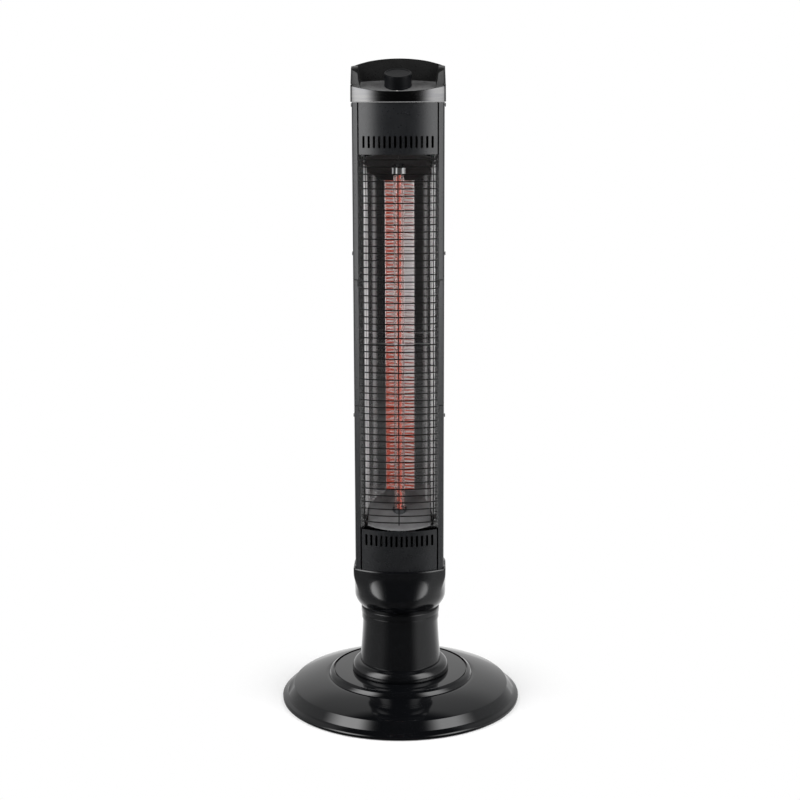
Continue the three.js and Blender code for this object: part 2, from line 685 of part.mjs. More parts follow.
// ---------------------------------------------------------------------------------------------------------
// Tower housing
// ---------------------------------------------------------------------------------------------------------
const HOUSING_INSET = FRAME_SHEET + SEAT_GAP + HOUSING_SHEET / 2;  // the housing steps in under the side frames
const HOUSING_LIP_Y = REFLECTOR_FLANGE_Y - (REFLECTOR_SHEET + HOUSING_SHEET) / 2 - SEAT_GAP;
const HOUSING_CHAMFER = 4;          // the housing's front bends are cut across inside the side frames
const GLAND_Z = 232;
const GLAND_RADIUS = 7;

// One bank of level slots through the back wall.
function rearVents(x, z) {
  return Array.from({ length: REAR_VENT_ROWS }, (_, i) => {
    const low = z + (i - (REAR_VENT_ROWS - 1) / 2) * REAR_VENT_PITCH - REAR_VENT_HEIGHT / 2;
    return block(
      [x - REAR_VENT_WIDTH / 2, TOWER_BACK_Y / 2, low],
      [x + REAR_VENT_WIDTH / 2, TOWER_BACK_Y + 5, low + REAR_VENT_HEIGHT],
    );
  });
}

// One of the three courses that the rear housing is built from.
function rearHousing(low, high) {
  const sideX = TOWER_HALF_WIDTH - HOUSING_INSET;
  const lipX = PANEL_HALF_WIDTH + SEAT_GAP;
  const back = sectionBack(-HOUSING_SHEET / 2).filter((point) => point.x < TOWER_HALF_WIDTH - 0.7);
  const half = [
    new THREE.Vector2(lipX, HOUSING_LIP_Y),
    new THREE.Vector2(sideX - HOUSING_CHAMFER, HOUSING_LIP_Y),
    new THREE.Vector2(sideX, HOUSING_LIP_Y + HOUSING_CHAMFER),
    new THREE.Vector2(sideX, FRAME_REAR_Y + SEAT_GAP + 0.5),
    new THREE.Vector2(TOWER_HALF_WIDTH - HOUSING_SHEET / 2, TOWER_SIDE_END_Y),
    ...back,
  ];
  const bends = [...half, ...half.slice(0, -1).reverse().map(mirrorX)];
  const shell = prism(sheet(bends, HOUSING_SHEET), low, high);
  const rearCuts = REAR_VENT_HEIGHTS.flatMap((z) => [
    ...rearVents(-REAR_VENT_X, z),
    ...rearVents(REAR_VENT_X, z),
  ]);
  const glandHole = new THREE.CylinderGeometry(GLAND_RADIUS + SEAT_GAP, GLAND_RADIUS + SEAT_GAP, 20, 20)
    .translate(0, TOWER_BACK_Y, GLAND_Z);
  const screwHoles = SIDE_SCREW_HEIGHTS.map((z) => (
    sideways(SIDE_SCREW_RADIUS + SEAT_GAP, 4 * TOWER_HALF_WIDTH, 8).translate(0, SIDE_SCREW_Y, z)
  ));
  return cut(shell, [...rearCuts, glandHole, ...screwHoles]);
}

function sideFrame(side) {
  const outer = [
    ...frontArc(FRAME_INNER_X, TOWER_HALF_WIDTH - TOWER_CORNER, 0, 2),
    ...sectionCorner(0).slice(1),
    new THREE.Vector2(TOWER_HALF_WIDTH, FRAME_REAR_Y),
  ];
  const innerX = TOWER_HALF_WIDTH - FRAME_SHEET;
  const inner = [
    new THREE.Vector2(innerX, FRAME_REAR_Y),
    new THREE.Vector2(innerX, frontY(innerX, -FRAME_SHEET)),
    ...frontArc(innerX - 3, FRAME_INNER_X, -FRAME_SHEET, 1),
  ];
  const outline = [...outer, ...inner].map((point) => new THREE.Vector2(side * point.x, point.y));
  const strip = prism(outline, TOWER_BOTTOM, TOWER_TOP - SEAT_GAP);
  const holes = SIDE_SCREW_HEIGHTS.map((z) => (
    sideways(SIDE_SCREW_RADIUS + SEAT_GAP, 3 * SIDE_SCREW_LENGTH, 8)
      .translate(side * TOWER_HALF_WIDTH, SIDE_SCREW_Y, z)
  ));
  const slots = STRIP_SLOT_HEIGHTS.flatMap((z) => [
    slotBox(side, FRAME_INNER_X + STRIP_SLOT_WIDTH, z - SLOT_GAP, z),
    slotBox(side, FRAME_INNER_X + SLOT_GAP, z - STRIP_SLOT_DROP, z),
  ]);
  return cut(strip, [...holes, ...slots]);
}

// A cutter from inside the strip's inner edge out to an x, through its front sheet.
function slotBox(side, toX, low, high) {
  const [lowX, highX] = [side * (FRAME_INNER_X - 1), side * toX].sort((a, b) => a - b);
  return block([lowX, TOWER_FRONT_Y, low], [highX, SIDE_SCREW_Y - SIDE_SCREW_HEAD_RADIUS, high]);
}

// A cylinder that lies along X.
function sideways(radius, length, sides) {
  return new THREE.CylinderGeometry(radius, radius, length, sides).rotateZ(Math.PI / 2);
}

function sideScrew(side, z) {
  const under = TOWER_HALF_WIDTH + SEAT_GAP;
  const shankLength = SIDE_SCREW_LENGTH + SIDE_SCREW_HEAD_HEIGHT / 2;
  const head = new THREE.CylinderGeometry(
    SIDE_SCREW_HEAD_RADIUS * 0.8, SIDE_SCREW_HEAD_RADIUS, SIDE_SCREW_HEAD_HEIGHT, 8,
  ).rotateZ(-Math.PI / 2 * side).translate(side * (under + SIDE_SCREW_HEAD_HEIGHT / 2), SIDE_SCREW_Y, z);
  const shank = sideways(SIDE_SCREW_RADIUS, shankLength, 5)
    .translate(side * (under - SIDE_SCREW_LENGTH + shankLength / 2), SIDE_SCREW_Y, z);
  return join([head, shank]);
}

function frontPanel(low, high, ventZ) {
  const bends = [
    new THREE.Vector2(-PANEL_EDGE_X, PANEL_RETURN_Y),
    ...frontArc(-PANEL_EDGE_X, PANEL_EDGE_X, PANEL_MID_OFFSET, 2 * FRONT_STEPS - 2),
    new THREE.Vector2(PANEL_EDGE_X, PANEL_RETURN_Y),
  ];
  const plate = prism(sheet(bends, PANEL_SHEET), low, high);
  const vents = Array.from({ length: VENT_COUNT }, (_, i) => {
    const x = (i - (VENT_COUNT - 1) / 2) * VENT_PITCH;
    const low3 = [x - VENT_WIDTH / 2, TOWER_FRONT_Y - 5, ventZ - VENT_HEIGHT / 2];
    return block(low3, [x + VENT_WIDTH / 2, TOWER_FRONT_Y + 25, ventZ + VENT_HEIGHT / 2]);
  });
  return cut(plate, vents);
}

const PANEL_MID_OFFSET = -PANEL_RECESS - PANEL_SHEET / 2;
const PANEL_EDGE_X = PANEL_HALF_WIDTH - PANEL_SHEET / 2;
const PANEL_RETURN_Y = frontY(PANEL_EDGE_X, PANEL_MID_OFFSET) + PANEL_RETURN;
const INSIDE_HOUSING = HOUSING_INSET + HOUSING_SHEET / 2 + SEAT_GAP;

// What fits inside the housing: with a bowed front it also fits between the front panel's returns.
function insideOutline(bowed) {
  const stepY = PANEL_RETURN_Y + SEAT_GAP;
  const betweenReturns = PANEL_HALF_WIDTH - PANEL_SHEET - SEAT_GAP;
  const bow = [
    ...frontArc(0, betweenReturns, -INSIDE_HOUSING, FRONT_STEPS),
    new THREE.Vector2(betweenReturns, stepY),
  ];
  return bothSides([
    ...(bowed ? bow : [new THREE.Vector2(0, stepY)]),
    new THREE.Vector2(TOWER_HALF_WIDTH - INSIDE_HOUSING, stepY),
    ...sectionBack(-INSIDE_HOUSING),
  ]);
}

// A level plate that closes the housing off.
function chassisPlate(low, bowed, holes) {
  return cut(prism(insideOutline(bowed), low, low + CHASSIS_SHEET), holes);
}

function cableGland() {
  const outer = GLAND_RADIUS + 4;
  const wallFace = TOWER_BACK_Y + SEAT_GAP;
  const ring = turned([
    [4, wallFace - 14],
    [GLAND_RADIUS, wallFace - 14],
    [GLAND_RADIUS, wallFace],
    [outer, wallFace],
    [outer, wallFace + 2],
    [GLAND_RADIUS + 1, wallFace + 5],
    [4, wallFace + 5],
  ], 14);
  return ring.rotateX(-Math.PI / 2).translate(0, 0, GLAND_Z);
}

function addHousing() {
  ['lower', 'middle', 'upper'].forEach((name, i) => {
    const [low, high] = [i, i + 1].map((n) => THREE.MathUtils.lerp(TOWER_BOTTOM, TOWER_TOP, n / 3));
    add(`rear_housing_${name}`, rearHousing(low, high - SEAT_GAP), 'satinBlack');
  });
  for (const [side, name] of [[-1, 'left'], [1, 'right']]) {
    add(`side_frame_${name}`, sideFrame(side), 'satinBlack');
    SIDE_SCREW_HEIGHTS.forEach((z, i) => add(`side_screw_${name}_${i + 1}`, sideScrew(side, z), 'steel'));
  }
  add('front_panel_upper', frontPanel(UPPER_PANEL_BOTTOM, TOWER_TOP - SEAT_GAP, UPPER_VENT_Z), 'satinBlack');
  add('front_panel_lower', frontPanel(TOWER_BOTTOM, LOWER_PANEL_TOP, LOWER_VENT_Z), 'satinBlack');
  add('cable_gland', cableGland(), 'rubber');
}

// ---------------------------------------------------------------------------------------------------------
// Reflector, heating tube and guard
// ---------------------------------------------------------------------------------------------------------
const REFLECTOR_BOTTOM = LOWER_PANEL_TOP + 0.5;
const REFLECTOR_TOP = UPPER_PANEL_BOTTOM - 0.5;
const UPPER_CHASSIS_LOW = REFLECTOR_TOP + SEAT_GAP;
const LOWER_CHASSIS_LOW = REFLECTOR_BOTTOM - SEAT_GAP - CHASSIS_SHEET;
const LOOM_Y = 32;
const LOOM_RADIUS = 2.6;
const LOOM_PLAY = 1.6;

function reflector() {
  const half = [[REFLECTOR_FLANGE_X, REFLECTOR_FLANGE_Y], ...REFLECTOR_BENDS];
  const right = half.map(([x, y]) => new THREE.Vector2(x, y));
  const bends = [...right, ...[...right].reverse().map(mirrorX)];
  return prism(sheet(bends, REFLECTOR_SHEET), REFLECTOR_BOTTOM, REFLECTOR_TOP);
}

// A sloping plate that closes one end of the reflector, cut to the reflector's section.
function endPlate(frontZ, rise) {
  const inside = REFLECTOR_SHEET / 2 + SEAT_GAP;
  const [lip, side, shoulder, back] = REFLECTOR_BENDS;
  const width = lip[0] - inside - 0.2;
  const offset = -PANEL_RECESS - PANEL_SHEET - SEAT_GAP;
  const half = [
    ...frontArc(0, width, offset, 4),
    new THREE.Vector2(side[0] - inside - 0.1, side[1]),
    new THREE.Vector2(shoulder[0] - inside, shoulder[1] - inside),
    new THREE.Vector2(back[0] - inside, back[1] - inside),
    new THREE.Vector2(0, back[1] - inside),
  ];
  const hole = post(0, LAMP_Y, -1, END_PLATE_SHEET + 1, LAMP_CAP_RADIUS + LAMP_HOLE_CLEARANCE, 16);
  const plate = cut(prism(bothSides(half), 0, END_PLATE_SHEET), [hole]);
  const position = plate.attributes.position;
  for (let i = 0; i < position.count; i += 1) {
    const climb = (position.getY(i) - TOWER_FRONT_Y) * rise;
    position.setZ(i, position.getZ(i) + frontZ + climb);
  }
  plate.computeVertexNormals();
  return plate;
}

// A ceramic cap on the tube's end, with a flange beyond the chassis plate that carries it.
function lampCap(faceZ, flangeZ) {
  const reach = Math.abs(flangeZ - faceZ);
  const wireHole = ELEMENT_RADIUS * 0.7;
  const cap = turned([
    [wireHole, 0],
    [LAMP_CAP_RADIUS, 0],
    [LAMP_CAP_RADIUS, reach],
    [LAMP_CAP_FLANGE, reach],
    [LAMP_CAP_FLANGE, reach + LAMP_FLANGE_HEIGHT],
    [wireHole, reach + LAMP_FLANGE_HEIGHT],
  ], 14);
  if (flangeZ < faceZ) cap.rotateX(Math.PI);
  return cap.translate(0, LAMP_Y, faceZ);
}

// The element: a flat-wound carbon spiral in the tube, as a ribbed core.
function carbonElement() {
  const ribs = 8;
  const low = TUBE_BOTTOM - 2;
  const high = TUBE_TOP + 2;
  const outline = [[0, low], [ELEMENT_RADIUS * 0.6, low]];
  for (let i = 1; i < 2 * ribs; i += 1) {
    const wave = i % 2 ? ELEMENT_RADIUS : ELEMENT_RADIUS * 0.72;
    outline.push([wave, low + (high - low) * i / (2 * ribs)]);
  }
  outline.push([ELEMENT_RADIUS * 0.6, high], [0, high]);
  return turned(outline, 6).translate(0, LAMP_Y, 0);
}

function tubeSupport() {
  const half = SUPPORT_WIRE / 2;
  const bore = TUBE_RADIUS + SEAT_GAP;
  const outer = bore + SUPPORT_WIRE;
  const loop = turned([[bore, -half], [outer, -half], [outer, half], [bore, half]], 16)
    .translate(0, LAMP_Y, SUPPORT_Z);
  const reach = REFLECTOR_BENDS[1][0] - REFLECTOR_SHEET / 2 - 2 * SEAT_GAP;
  const arms = [-1, 1].map((side) => {
    const [lowX, highX] = [side * (bore + half), side * reach].sort((a, b) => a - b);
    return block([lowX, LAMP_Y - half, SUPPORT_Z - half], [highX, LAMP_Y + half, SUPPORT_Z + half]);
  });
  return join([loop, ...arms]);
}

class GuardArc extends THREE.Curve {
  constructor(radius, halfAngle) {
    super();
    this.radius = radius;
    this.halfAngle = halfAngle;
  }

  getPoint(t, target = new THREE.Vector3()) {
    const angle = THREE.MathUtils.lerp(-this.halfAngle, this.halfAngle, t);
    const depth = this.radius * (1 - Math.cos(angle));
    return target.set(this.radius * Math.sin(angle), GUARD_FRONT_Y + depth, 0);
  }
}

const GUARD_RADIUS = (GUARD_HALF_WIDTH ** 2 + GUARD_BOW ** 2) / (2 * GUARD_BOW);
const guardDepth = (x) => GUARD_FRONT_Y + GUARD_RADIUS - Math.sqrt(GUARD_RADIUS ** 2 - x ** 2);
const UPRIGHT_PHASE = 0.25;

function polygon(radius, sides, phase = 0) {
  return Array.from({ length: sides }, (_, i) => {
    const angle = ((i + phase) / sides) * 2 * Math.PI;
    return new THREE.Vector2(radius * Math.cos(angle), radius * Math.sin(angle));
  });
}

// The guard: bowed cross wires welded to three uprights that lie behind them.
function guard() {
  const path = new GuardArc(GUARD_RADIUS, Math.asin(GUARD_HALF_WIDTH / GUARD_RADIUS));
  const profile = new THREE.Shape(polygon(WIRE_RADIUS, GUARD_SIDES));
  const cross = new THREE.ExtrudeGeometry(profile, { steps: GUARD_STEPS, extrudePath: path });
  const wires = Array.from({ length: WIRE_COUNT }, (_, i) => (
    cross.clone().translate(0, 0, WIRE_BOTTOM_Z + i * WIRE_PITCH)
  ));
  const uprights = [-GUARD_UPRIGHT_X, 0, GUARD_UPRIGHT_X].map((x) => {
    const rod = prism(polygon(WIRE_RADIUS, 3, UPRIGHT_PHASE), WIRE_BOTTOM_Z - 4, WIRE_TOP_Z + 4);
    return rod.translate(x, guardDepth(x) + 1.5 * WIRE_RADIUS, 0);
  });
  return joinEvenly([...wires, ...uprights]);
}

// A saddle that holds the end of one guard upright to the reflector's flange.
function guardClip(side, z) {
  const x = side * GUARD_UPRIGHT_X;
  const back = REFLECTOR_FLANGE_Y - REFLECTOR_SHEET / 2 - SEAT_GAP;
  const wireY = guardDepth(x) + 1.5 * WIRE_RADIUS;
  const rise = CLIP_SIZE * 0.6;
  const body = block([x - CLIP_SIZE, wireY - 1, z - rise], [x + CLIP_SIZE, back, z + rise]);
  return cut(body, [post(x, wireY, z - CLIP_SIZE, z + CLIP_SIZE, WIRE_RADIUS + SEAT_GAP, 12)]);
}

function addHeating() {
  const capHole = post(0, LAMP_Y, 0, CAP_TOP, LAMP_CAP_RADIUS + LAMP_HOLE_CLEARANCE, 12);
  const loomHole = post(0, LOOM_Y, 0, CAP_TOP, LOOM_RADIUS + LOOM_PLAY, 8);
  add('chassis_plate_upper', chassisPlate(UPPER_CHASSIS_LOW, false, [capHole, loomHole]), 'steel');
  add('chassis_plate_lower', chassisPlate(LOWER_CHASSIS_LOW, false, [capHole, loomHole]), 'steel');
  add('reflector', reflector(), 'polished');
  const upperFront = UPPER_PANEL_BOTTOM + 3;
  const lowerFront = LOWER_PANEL_TOP - 0.8;
  add('reflector_end_upper', endPlate(upperFront, -END_PLATE_SLOPE), 'polished');
  add('reflector_end_lower', endPlate(lowerFront, END_PLATE_SLOPE), 'polished');

  const glass = turned([
    [TUBE_RADIUS - TUBE_WALL, TUBE_BOTTOM + SEAT_GAP],
    [TUBE_RADIUS, TUBE_BOTTOM + SEAT_GAP],
    [TUBE_RADIUS, TUBE_TOP - SEAT_GAP],
    [TUBE_RADIUS - TUBE_WALL, TUBE_TOP - SEAT_GAP],
  ], 20).translate(0, LAMP_Y, 0);
  add('quartz_tube', glass, 'quartz');
  add('carbon_element', carbonElement(), 'glowing');
  add('lamp_cap_upper', lampCap(TUBE_TOP, UPPER_CHASSIS_LOW + CHASSIS_SHEET + SEAT_GAP), 'ceramic');
  add('lamp_cap_lower', lampCap(TUBE_BOTTOM, LOWER_CHASSIS_LOW - SEAT_GAP), 'ceramic');
  add('tube_support', tubeSupport(), 'steel');

  add('guard', guard(), 'blackWire');
  for (const [side, name] of [[-1, 'left'], [1, 'right']]) {
    add(`guard_clip_upper_${name}`, guardClip(side, WIRE_TOP_Z - WIRE_PITCH / 2), 'steel');
    add(`guard_clip_lower_${name}`, guardClip(side, WIRE_BOTTOM_Z + WIRE_PITCH / 2), 'steel');
  }
}

// ---------------------------------------------------------------------------------------------------------
// Cap, band and selector knob
// ---------------------------------------------------------------------------------------------------------
const ARCH_STEPS = 14;
const deckZ = (y) => DECK_FRONT_Z + (y - DECK_FRONT_Y) * Math.tan(DECK_TILT);
const BAND_BOTTOM = TOWER_TOP;

function capBand() {
  const ringAt = (offset, height) => section(offset).map((point) => (
    new THREE.Vector3(point.x, point.y, height(point))
  ));
  const low = () => BAND_BOTTOM;
  const high = (point) => Math.min(deckZ(point.y) + BAND_LIP, BAND_SIDE_TOP);
  return ringLoft([
    ringAt(BAND_HALF_LAP, low),
    ringAt(BAND_HALF_LAP - 0.3, high),
    ringAt(BAND_HALF_LAP - BAND_WALL, high),
    ringAt(BAND_HALF_LAP - BAND_WALL, low),
  ]);
}

// The hollow that is scooped out of the cap over the deck: floor, back wall and two slanting cheeks.
function scoop() {
  const out = 2 * TOWER_HALF_WIDTH;   // how far the cutter runs on in front
  const up = CAP_ARCH_RISE + TOWER_HALF_WIDTH / 2;
  const back = deckZ(DECK_BACK_Y);
  const wallLean = (CAP_CORNER_Y - DECK_BACK_Y) / (CAP_CORNER_Z - back);
  const points = [];
  for (const side of [-1, 1]) {
    const rimX = side * (TOWER_HALF_WIDTH + BAND_HALF_LAP);
    const rim = new THREE.Vector3(rimX, frontY(TOWER_HALF_WIDTH), BAND_SIDE_TOP);
    const corner = new THREE.Vector3(side * CAP_CORNER_X, CAP_CORNER_Y, CAP_CORNER_Z);
    const outX = rim.x + side * up / 4;
    points.push(
      new THREE.Vector3(side * DECK_HALF_WIDTH, DECK_BACK_Y, back),
      new THREE.Vector3(side * DECK_HALF_WIDTH, DECK_BACK_Y - out, deckZ(DECK_BACK_Y - out)),
      rim,
      new THREE.Vector3(rim.x, rim.y - out, rim.z - out * Math.tan(DECK_TILT)),
      corner,
      new THREE.Vector3(corner.x + side * up / 8, corner.y + up * wallLean, corner.z + up),
      new THREE.Vector3(outX, rim.y - out, rim.z + 2 * up),
    );
  }
  return new ConvexGeometry(points);
}

// Everything above the arched top of the cap, which also falls away towards the back.
function aboveArch() {
  const radius = (CAP_CORNER_X ** 2 + CAP_ARCH_RISE ** 2) / (2 * CAP_ARCH_RISE);
  const reach = TOWER_HALF_WIDTH + 15;
  const arch = Array.from({ length: ARCH_STEPS + 1 }, (_, i) => {
    const x = THREE.MathUtils.lerp(-reach, reach, i / ARCH_STEPS);
    return new THREE.Vector2(x, Math.sqrt(radius ** 2 - x ** 2) - radius);
  });
  const shape = new THREE.Shape([...arch, new THREE.Vector2(reach, reach), new THREE.Vector2(-reach, reach)]);
  const tool = new THREE.ExtrudeGeometry(shape, { depth: 3 * reach, bevelEnabled: false });
  return tool.rotateX(Math.PI / 2).translate(0, 1.5 * reach, 0).rotateX(-CAP_FALL).translate(0, 0, CAP_TOP);
}

function topCap() {
  const bodyInset = BAND_HALF_LAP - BAND_WALL - SEAT_GAP;
  const upperLow = BAND_SIDE_TOP + SEAT_GAP;
  const outer = loftSolid([
    atHeight(section(bodyInset), BAND_BOTTOM),
    atHeight(section(bodyInset), upperLow),
    atHeight(section(BAND_HALF_LAP - SEAT_GAP), upperLow),
    atHeight(section(BAND_HALF_LAP - CAP_DRAFT), CAP_TOP + CAP_ARCH_RISE),
  ]);
  const skirtLow = BAND_BOTTOM - CAP_SKIRT;
  const skirt = cut(
    prism(insideOutline(true), skirtLow, BAND_BOTTOM + 1),
    [prism(section(-INSIDE_HOUSING - CAP_WALL), skirtLow - 1, BAND_BOTTOM + 2)],
  );
  const shaftHole = knobPlaced(post(0, 0, -4 * DECK_WALL, KNOB_HEIGHT, SHAFT_RADIUS + 2 * SEAT_GAP, 16));
  const shape = solid(outer).subtract(solid(scoop())).subtract(solid(aboveArch())).subtract(capRoom())
    .add(solid(skirt)).subtract(solid(shaftHole));
  return fromSolid(shape);
}

// The hollow under the deck and inside the cap's hood.
function capRoom() {
  const low = BAND_BOTTOM - 1;
  const frontEnd = DECK_FRONT_Y + CAP_WALL;
  const backEnd = DECK_BACK_Y + 2;
  const profile = [
    [frontEnd, low],
    [frontEnd, deckZ(frontEnd) - DECK_WALL],
    [backEnd, deckZ(backEnd) - DECK_WALL],
    [CAP_CORNER_Y + 2 * CAP_WALL, CAP_CORNER_Z - 2 * CAP_WALL],
    [TOWER_BACK_Y, CAP_CORNER_Z - 5 * CAP_WALL],
    [TOWER_BACK_Y, low],
  ].map(([y, z]) => new THREE.Vector2(y, z));
  const across = new THREE.ExtrudeGeometry(new THREE.Shape(profile), {
    depth: 2 * TOWER_HALF_WIDTH, bevelEnabled: false,
  }).applyMatrix4(new THREE.Matrix4().makeBasis(
    new THREE.Vector3(0, 1, 0), new THREE.Vector3(0, 0, 1), new THREE.Vector3(1, 0, 0),
  )).translate(-TOWER_HALF_WIDTH, 0, 0);
  const within = loftSolid([
    atHeight(section(-2 * CAP_WALL), low),
    atHeight(section(-2 * CAP_WALL - 1), CAP_TOP),
  ]);
  return solid(across).intersect(solid(within));
}

// A loft through rings with flat ends.
function loftSolid(rings) {
  const count = rings[0].length;
  const flat = rings.flat().flatMap((point) => point.toArray());
  const index = [];
  for (let r = 0; r + 1 < rings.length; r += 1) {
    for (let i = 0; i < count; i += 1) {
      const j = (i + 1) % count;
      const [a, b, c, d] = [r * count + i, r * count + j, (r + 1) * count + j, (r + 1) * count + i];
      index.push(a, b, c, a, c, d);
    }
  }
  const outline = rings[0].map((point) => new THREE.Vector2(point.x, point.y));
  const last = (rings.length - 1) * count;
  for (const [a, b, c] of THREE.ShapeUtils.triangulateShape(outline, [])) {
    index.push(c, b, a, last + a, last + b, last + c);
  }
  const geometry = new THREE.BufferGeometry();
  geometry.setAttribute('position', new THREE.Float32BufferAttribute(flat, 3));
  geometry.setIndex(index);
  return outward(geometry);
}

// Moves a piece that was made about the Z axis onto the knob's axis, which stands square to the deck.
function knobPlaced(geometry) {
  return geometry.rotateX(DECK_TILT).translate(0, KNOB_Y, deckZ(KNOB_Y));
}

function knob() {
  const low = KNOB_GAP;
  const top = KNOB_GAP + KNOB_HEIGHT;
  const wall = 2;
  return turned([
    [0, top],
    [KNOB_RADIUS * 0.55, top - 0.15],
    [KNOB_RADIUS * 0.82, top - 0.6],
    [KNOB_RADIUS - 1, top - 1.6],
    [KNOB_RADIUS - 0.3, top - 3],
    [KNOB_RADIUS - 0.2, low + 2],
    [KNOB_RADIUS, low + 1.8],
    [KNOB_RADIUS, low],
    [KNOB_RADIUS - wall, low],
    [KNOB_RADIUS - wall, top - 4],
    [SHAFT_RADIUS + wall, top - 4],
    [SHAFT_RADIUS + wall, low + 1],
    [SHAFT_RADIUS + SEAT_GAP, low + 1],
    [SHAFT_RADIUS + SEAT_GAP, top - 5],
    [0, top - 5],
  ], 20);
}

function addCap() {
  add('cap_band', capBand(), 'brightBand');
  add('top_cap', topCap(), 'satinBlack');
  add('selector_knob', knobPlaced(knob()), 'glossBlack');
  const shaftTop = KNOB_GAP + KNOB_HEIGHT - 5 - SEAT_GAP;
  const switchTop = -DECK_WALL - SEAT_GAP;
  add('switch_shaft', knobPlaced(post(0, 0, switchTop + SEAT_GAP, shaftTop, SHAFT_RADIUS, 16)), 'steel');
  const switchBody = post(0, 0, switchTop - SWITCH_DEPTH, switchTop, SWITCH_RADIUS, 20);
  add('rotary_switch', knobPlaced(switchBody), 'insulator');
}

// ---------------------------------------------------------------------------------------------------------
// Electrical pieces in the lower and upper compartments
// ---------------------------------------------------------------------------------------------------------
const FLOOR_LOW = TOWER_BOTTOM + 0.4;
const FLOOR_TOP = FLOOR_LOW + CHASSIS_SHEET;

function tiltFrame() {
  const base = FLOOR_TOP + SEAT_GAP;
  const wall = 1.5;
  const plate = block(
    [TILT_X - TILT_HALF_SPAN - wall, TILT_Y - 10, base],
    [TILT_X + TILT_HALF_SPAN + wall, TILT_Y + 10, base + wall],
  );
  const ears = [-1, 1].map((side) => {
    const x = TILT_X + side * (TILT_HALF_SPAN + wall / 2);
    return block([x - wall / 2, TILT_Y - 6, base], [x + wall / 2, TILT_Y + 6, TILT_PIVOT_Z + 5]);
  });
  const pinHole = sideways(TILT_PIN_RADIUS + SEAT_GAP, 4 * TILT_HALF_SPAN, 12)
    .translate(TILT_X, TILT_Y, TILT_PIVOT_Z);
  return cut(join([plate, ...ears]), [pinHole]);
}

function tiltPendulum() {
  const pin = sideways(TILT_PIN_RADIUS, 2 * TILT_HALF_SPAN + 5, 12).translate(TILT_X, TILT_Y, TILT_PIVOT_Z);
  const bobZ = TILT_PIVOT_Z - TILT_ARM;
  const rod = block([TILT_X - 2, TILT_Y - 1, bobZ], [TILT_X + 2, TILT_Y + 1, TILT_PIVOT_Z]);
  const bob = sideways(TILT_BOB_RADIUS, TILT_HALF_SPAN + 1, 20).translate(TILT_X, TILT_Y, bobZ);
  return join([pin, rod, bob]);
}

// The switch stands just beyond the bob's swing.
function tiltMicroswitch() {
  const low = FLOOR_TOP + SEAT_GAP;
  const nearY = TILT_Y + TILT_ARM * Math.sin(TILT_SWING) + TILT_BOB_RADIUS + 1.5;
  return block([TILT_X - 8, nearY, low], [TILT_X + 8, nearY + 8, TILT_PIVOT_Z - TILT_ARM + TILT_BOB_RADIUS]);
}

// Three screw towers in a row on a ceramic bar.
function terminalBlock() {
  const low = FLOOR_TOP + SEAT_GAP;
  const halfLength = TERMINAL_PITCH * 5 / 3;
  const body = block(
    [TERMINAL_X - halfLength, TERMINAL_Y - TERMINAL_HALF_DEPTH, low],
    [TERMINAL_X + halfLength, TERMINAL_Y + TERMINAL_HALF_DEPTH, low + TERMINAL_HEIGHT],
  );
  const towers = [-1, 0, 1].map((i) => post(
    TERMINAL_X + i * TERMINAL_PITCH, TERMINAL_Y,
    low + TERMINAL_HEIGHT / 2, low + TERMINAL_HEIGHT * 4 / 3, TERMINAL_SCREW_RADIUS, 8,
  ));
  return join([body, ...towers]);
}

// The leads run up behind the reflector as one bundle, from the terminals to the switch.
function supplyLoom() {
  const start = new THREE.Vector3(
    TERMINAL_X - TERMINAL_PITCH,
    TERMINAL_Y + TERMINAL_HALF_DEPTH + LOOM_START_GAP,
    TOWER_BOTTOM + LOOM_START_HEIGHT,
  );
  const path = new THREE.CatmullRomCurve3([
    start,
    new THREE.Vector3(start.x * 0.4, start.y + LOOM_RISE, start.z + LOOM_RISE),
    new THREE.Vector3(0, LOOM_Y, REFLECTOR_BOTTOM - LOOM_RISE),
    ...[0.03, 0.3, 0.63, 0.96].map((part) => (
      new THREE.Vector3(0, LOOM_Y, THREE.MathUtils.lerp(REFLECTOR_BOTTOM, REFLECTOR_TOP, part))
    )),
    new THREE.Vector3(0, LOOM_Y, REFLECTOR_TOP + LOOM_RISE),
    new THREE.Vector3(0, LOOM_Y - LOOM_RISE, TOWER_TOP - 2 * LOOM_RISE),
    new THREE.Vector3(0, LOOM_END_Y, TOWER_TOP - LOOM_RISE / 2),
  ]);
  const profile = new THREE.Shape(polygon(LOOM_RADIUS, 5));
  return new THREE.ExtrudeGeometry(profile, { steps: 20, extrudePath: path, bevelEnabled: false });
}

function addElectrics() {
  const floorHole = post(0, 0, COLLAR_BOTTOM, TOWER_TOP, LOOM_HOLE_RADIUS, 16);
  add('tower_floor', chassisPlate(FLOOR_LOW, true, [floorHole]), 'steel');
  add('tilt_switch_frame', tiltFrame(), 'steel');
  add('tilt_pendulum', tiltPendulum(), 'castIron');
  add('tilt_microswitch', tiltMicroswitch(), 'insulator');
  add('terminal_block', terminalBlock(), 'ceramic');
  const cutoutLow = UPPER_CHASSIS_LOW + CHASSIS_SHEET + SEAT_GAP;
  const cutout = post(THERMAL_X, THERMAL_Y, cutoutLow, cutoutLow + THERMAL_HEIGHT, THERMAL_RADIUS, 20);
  add('thermal_cutout', cutout, 'insulator');
  add('supply_loom', supplyLoom(), 'insulator');
}

addBase();
addColumn();
addHousing();
addHeating();
addCap();
addElectrics();

export default parts;
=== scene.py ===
"""Looks of the infrared patio heater tower: fine surfaces, materials, studio and camera around its frame.

Metres, +Z up, the front faces -Y. Sizes are written in millimetres and scaled once, where a mesh is made.
"""
import json
import math

import bmesh
import bpy
from mathutils import Matrix, Vector

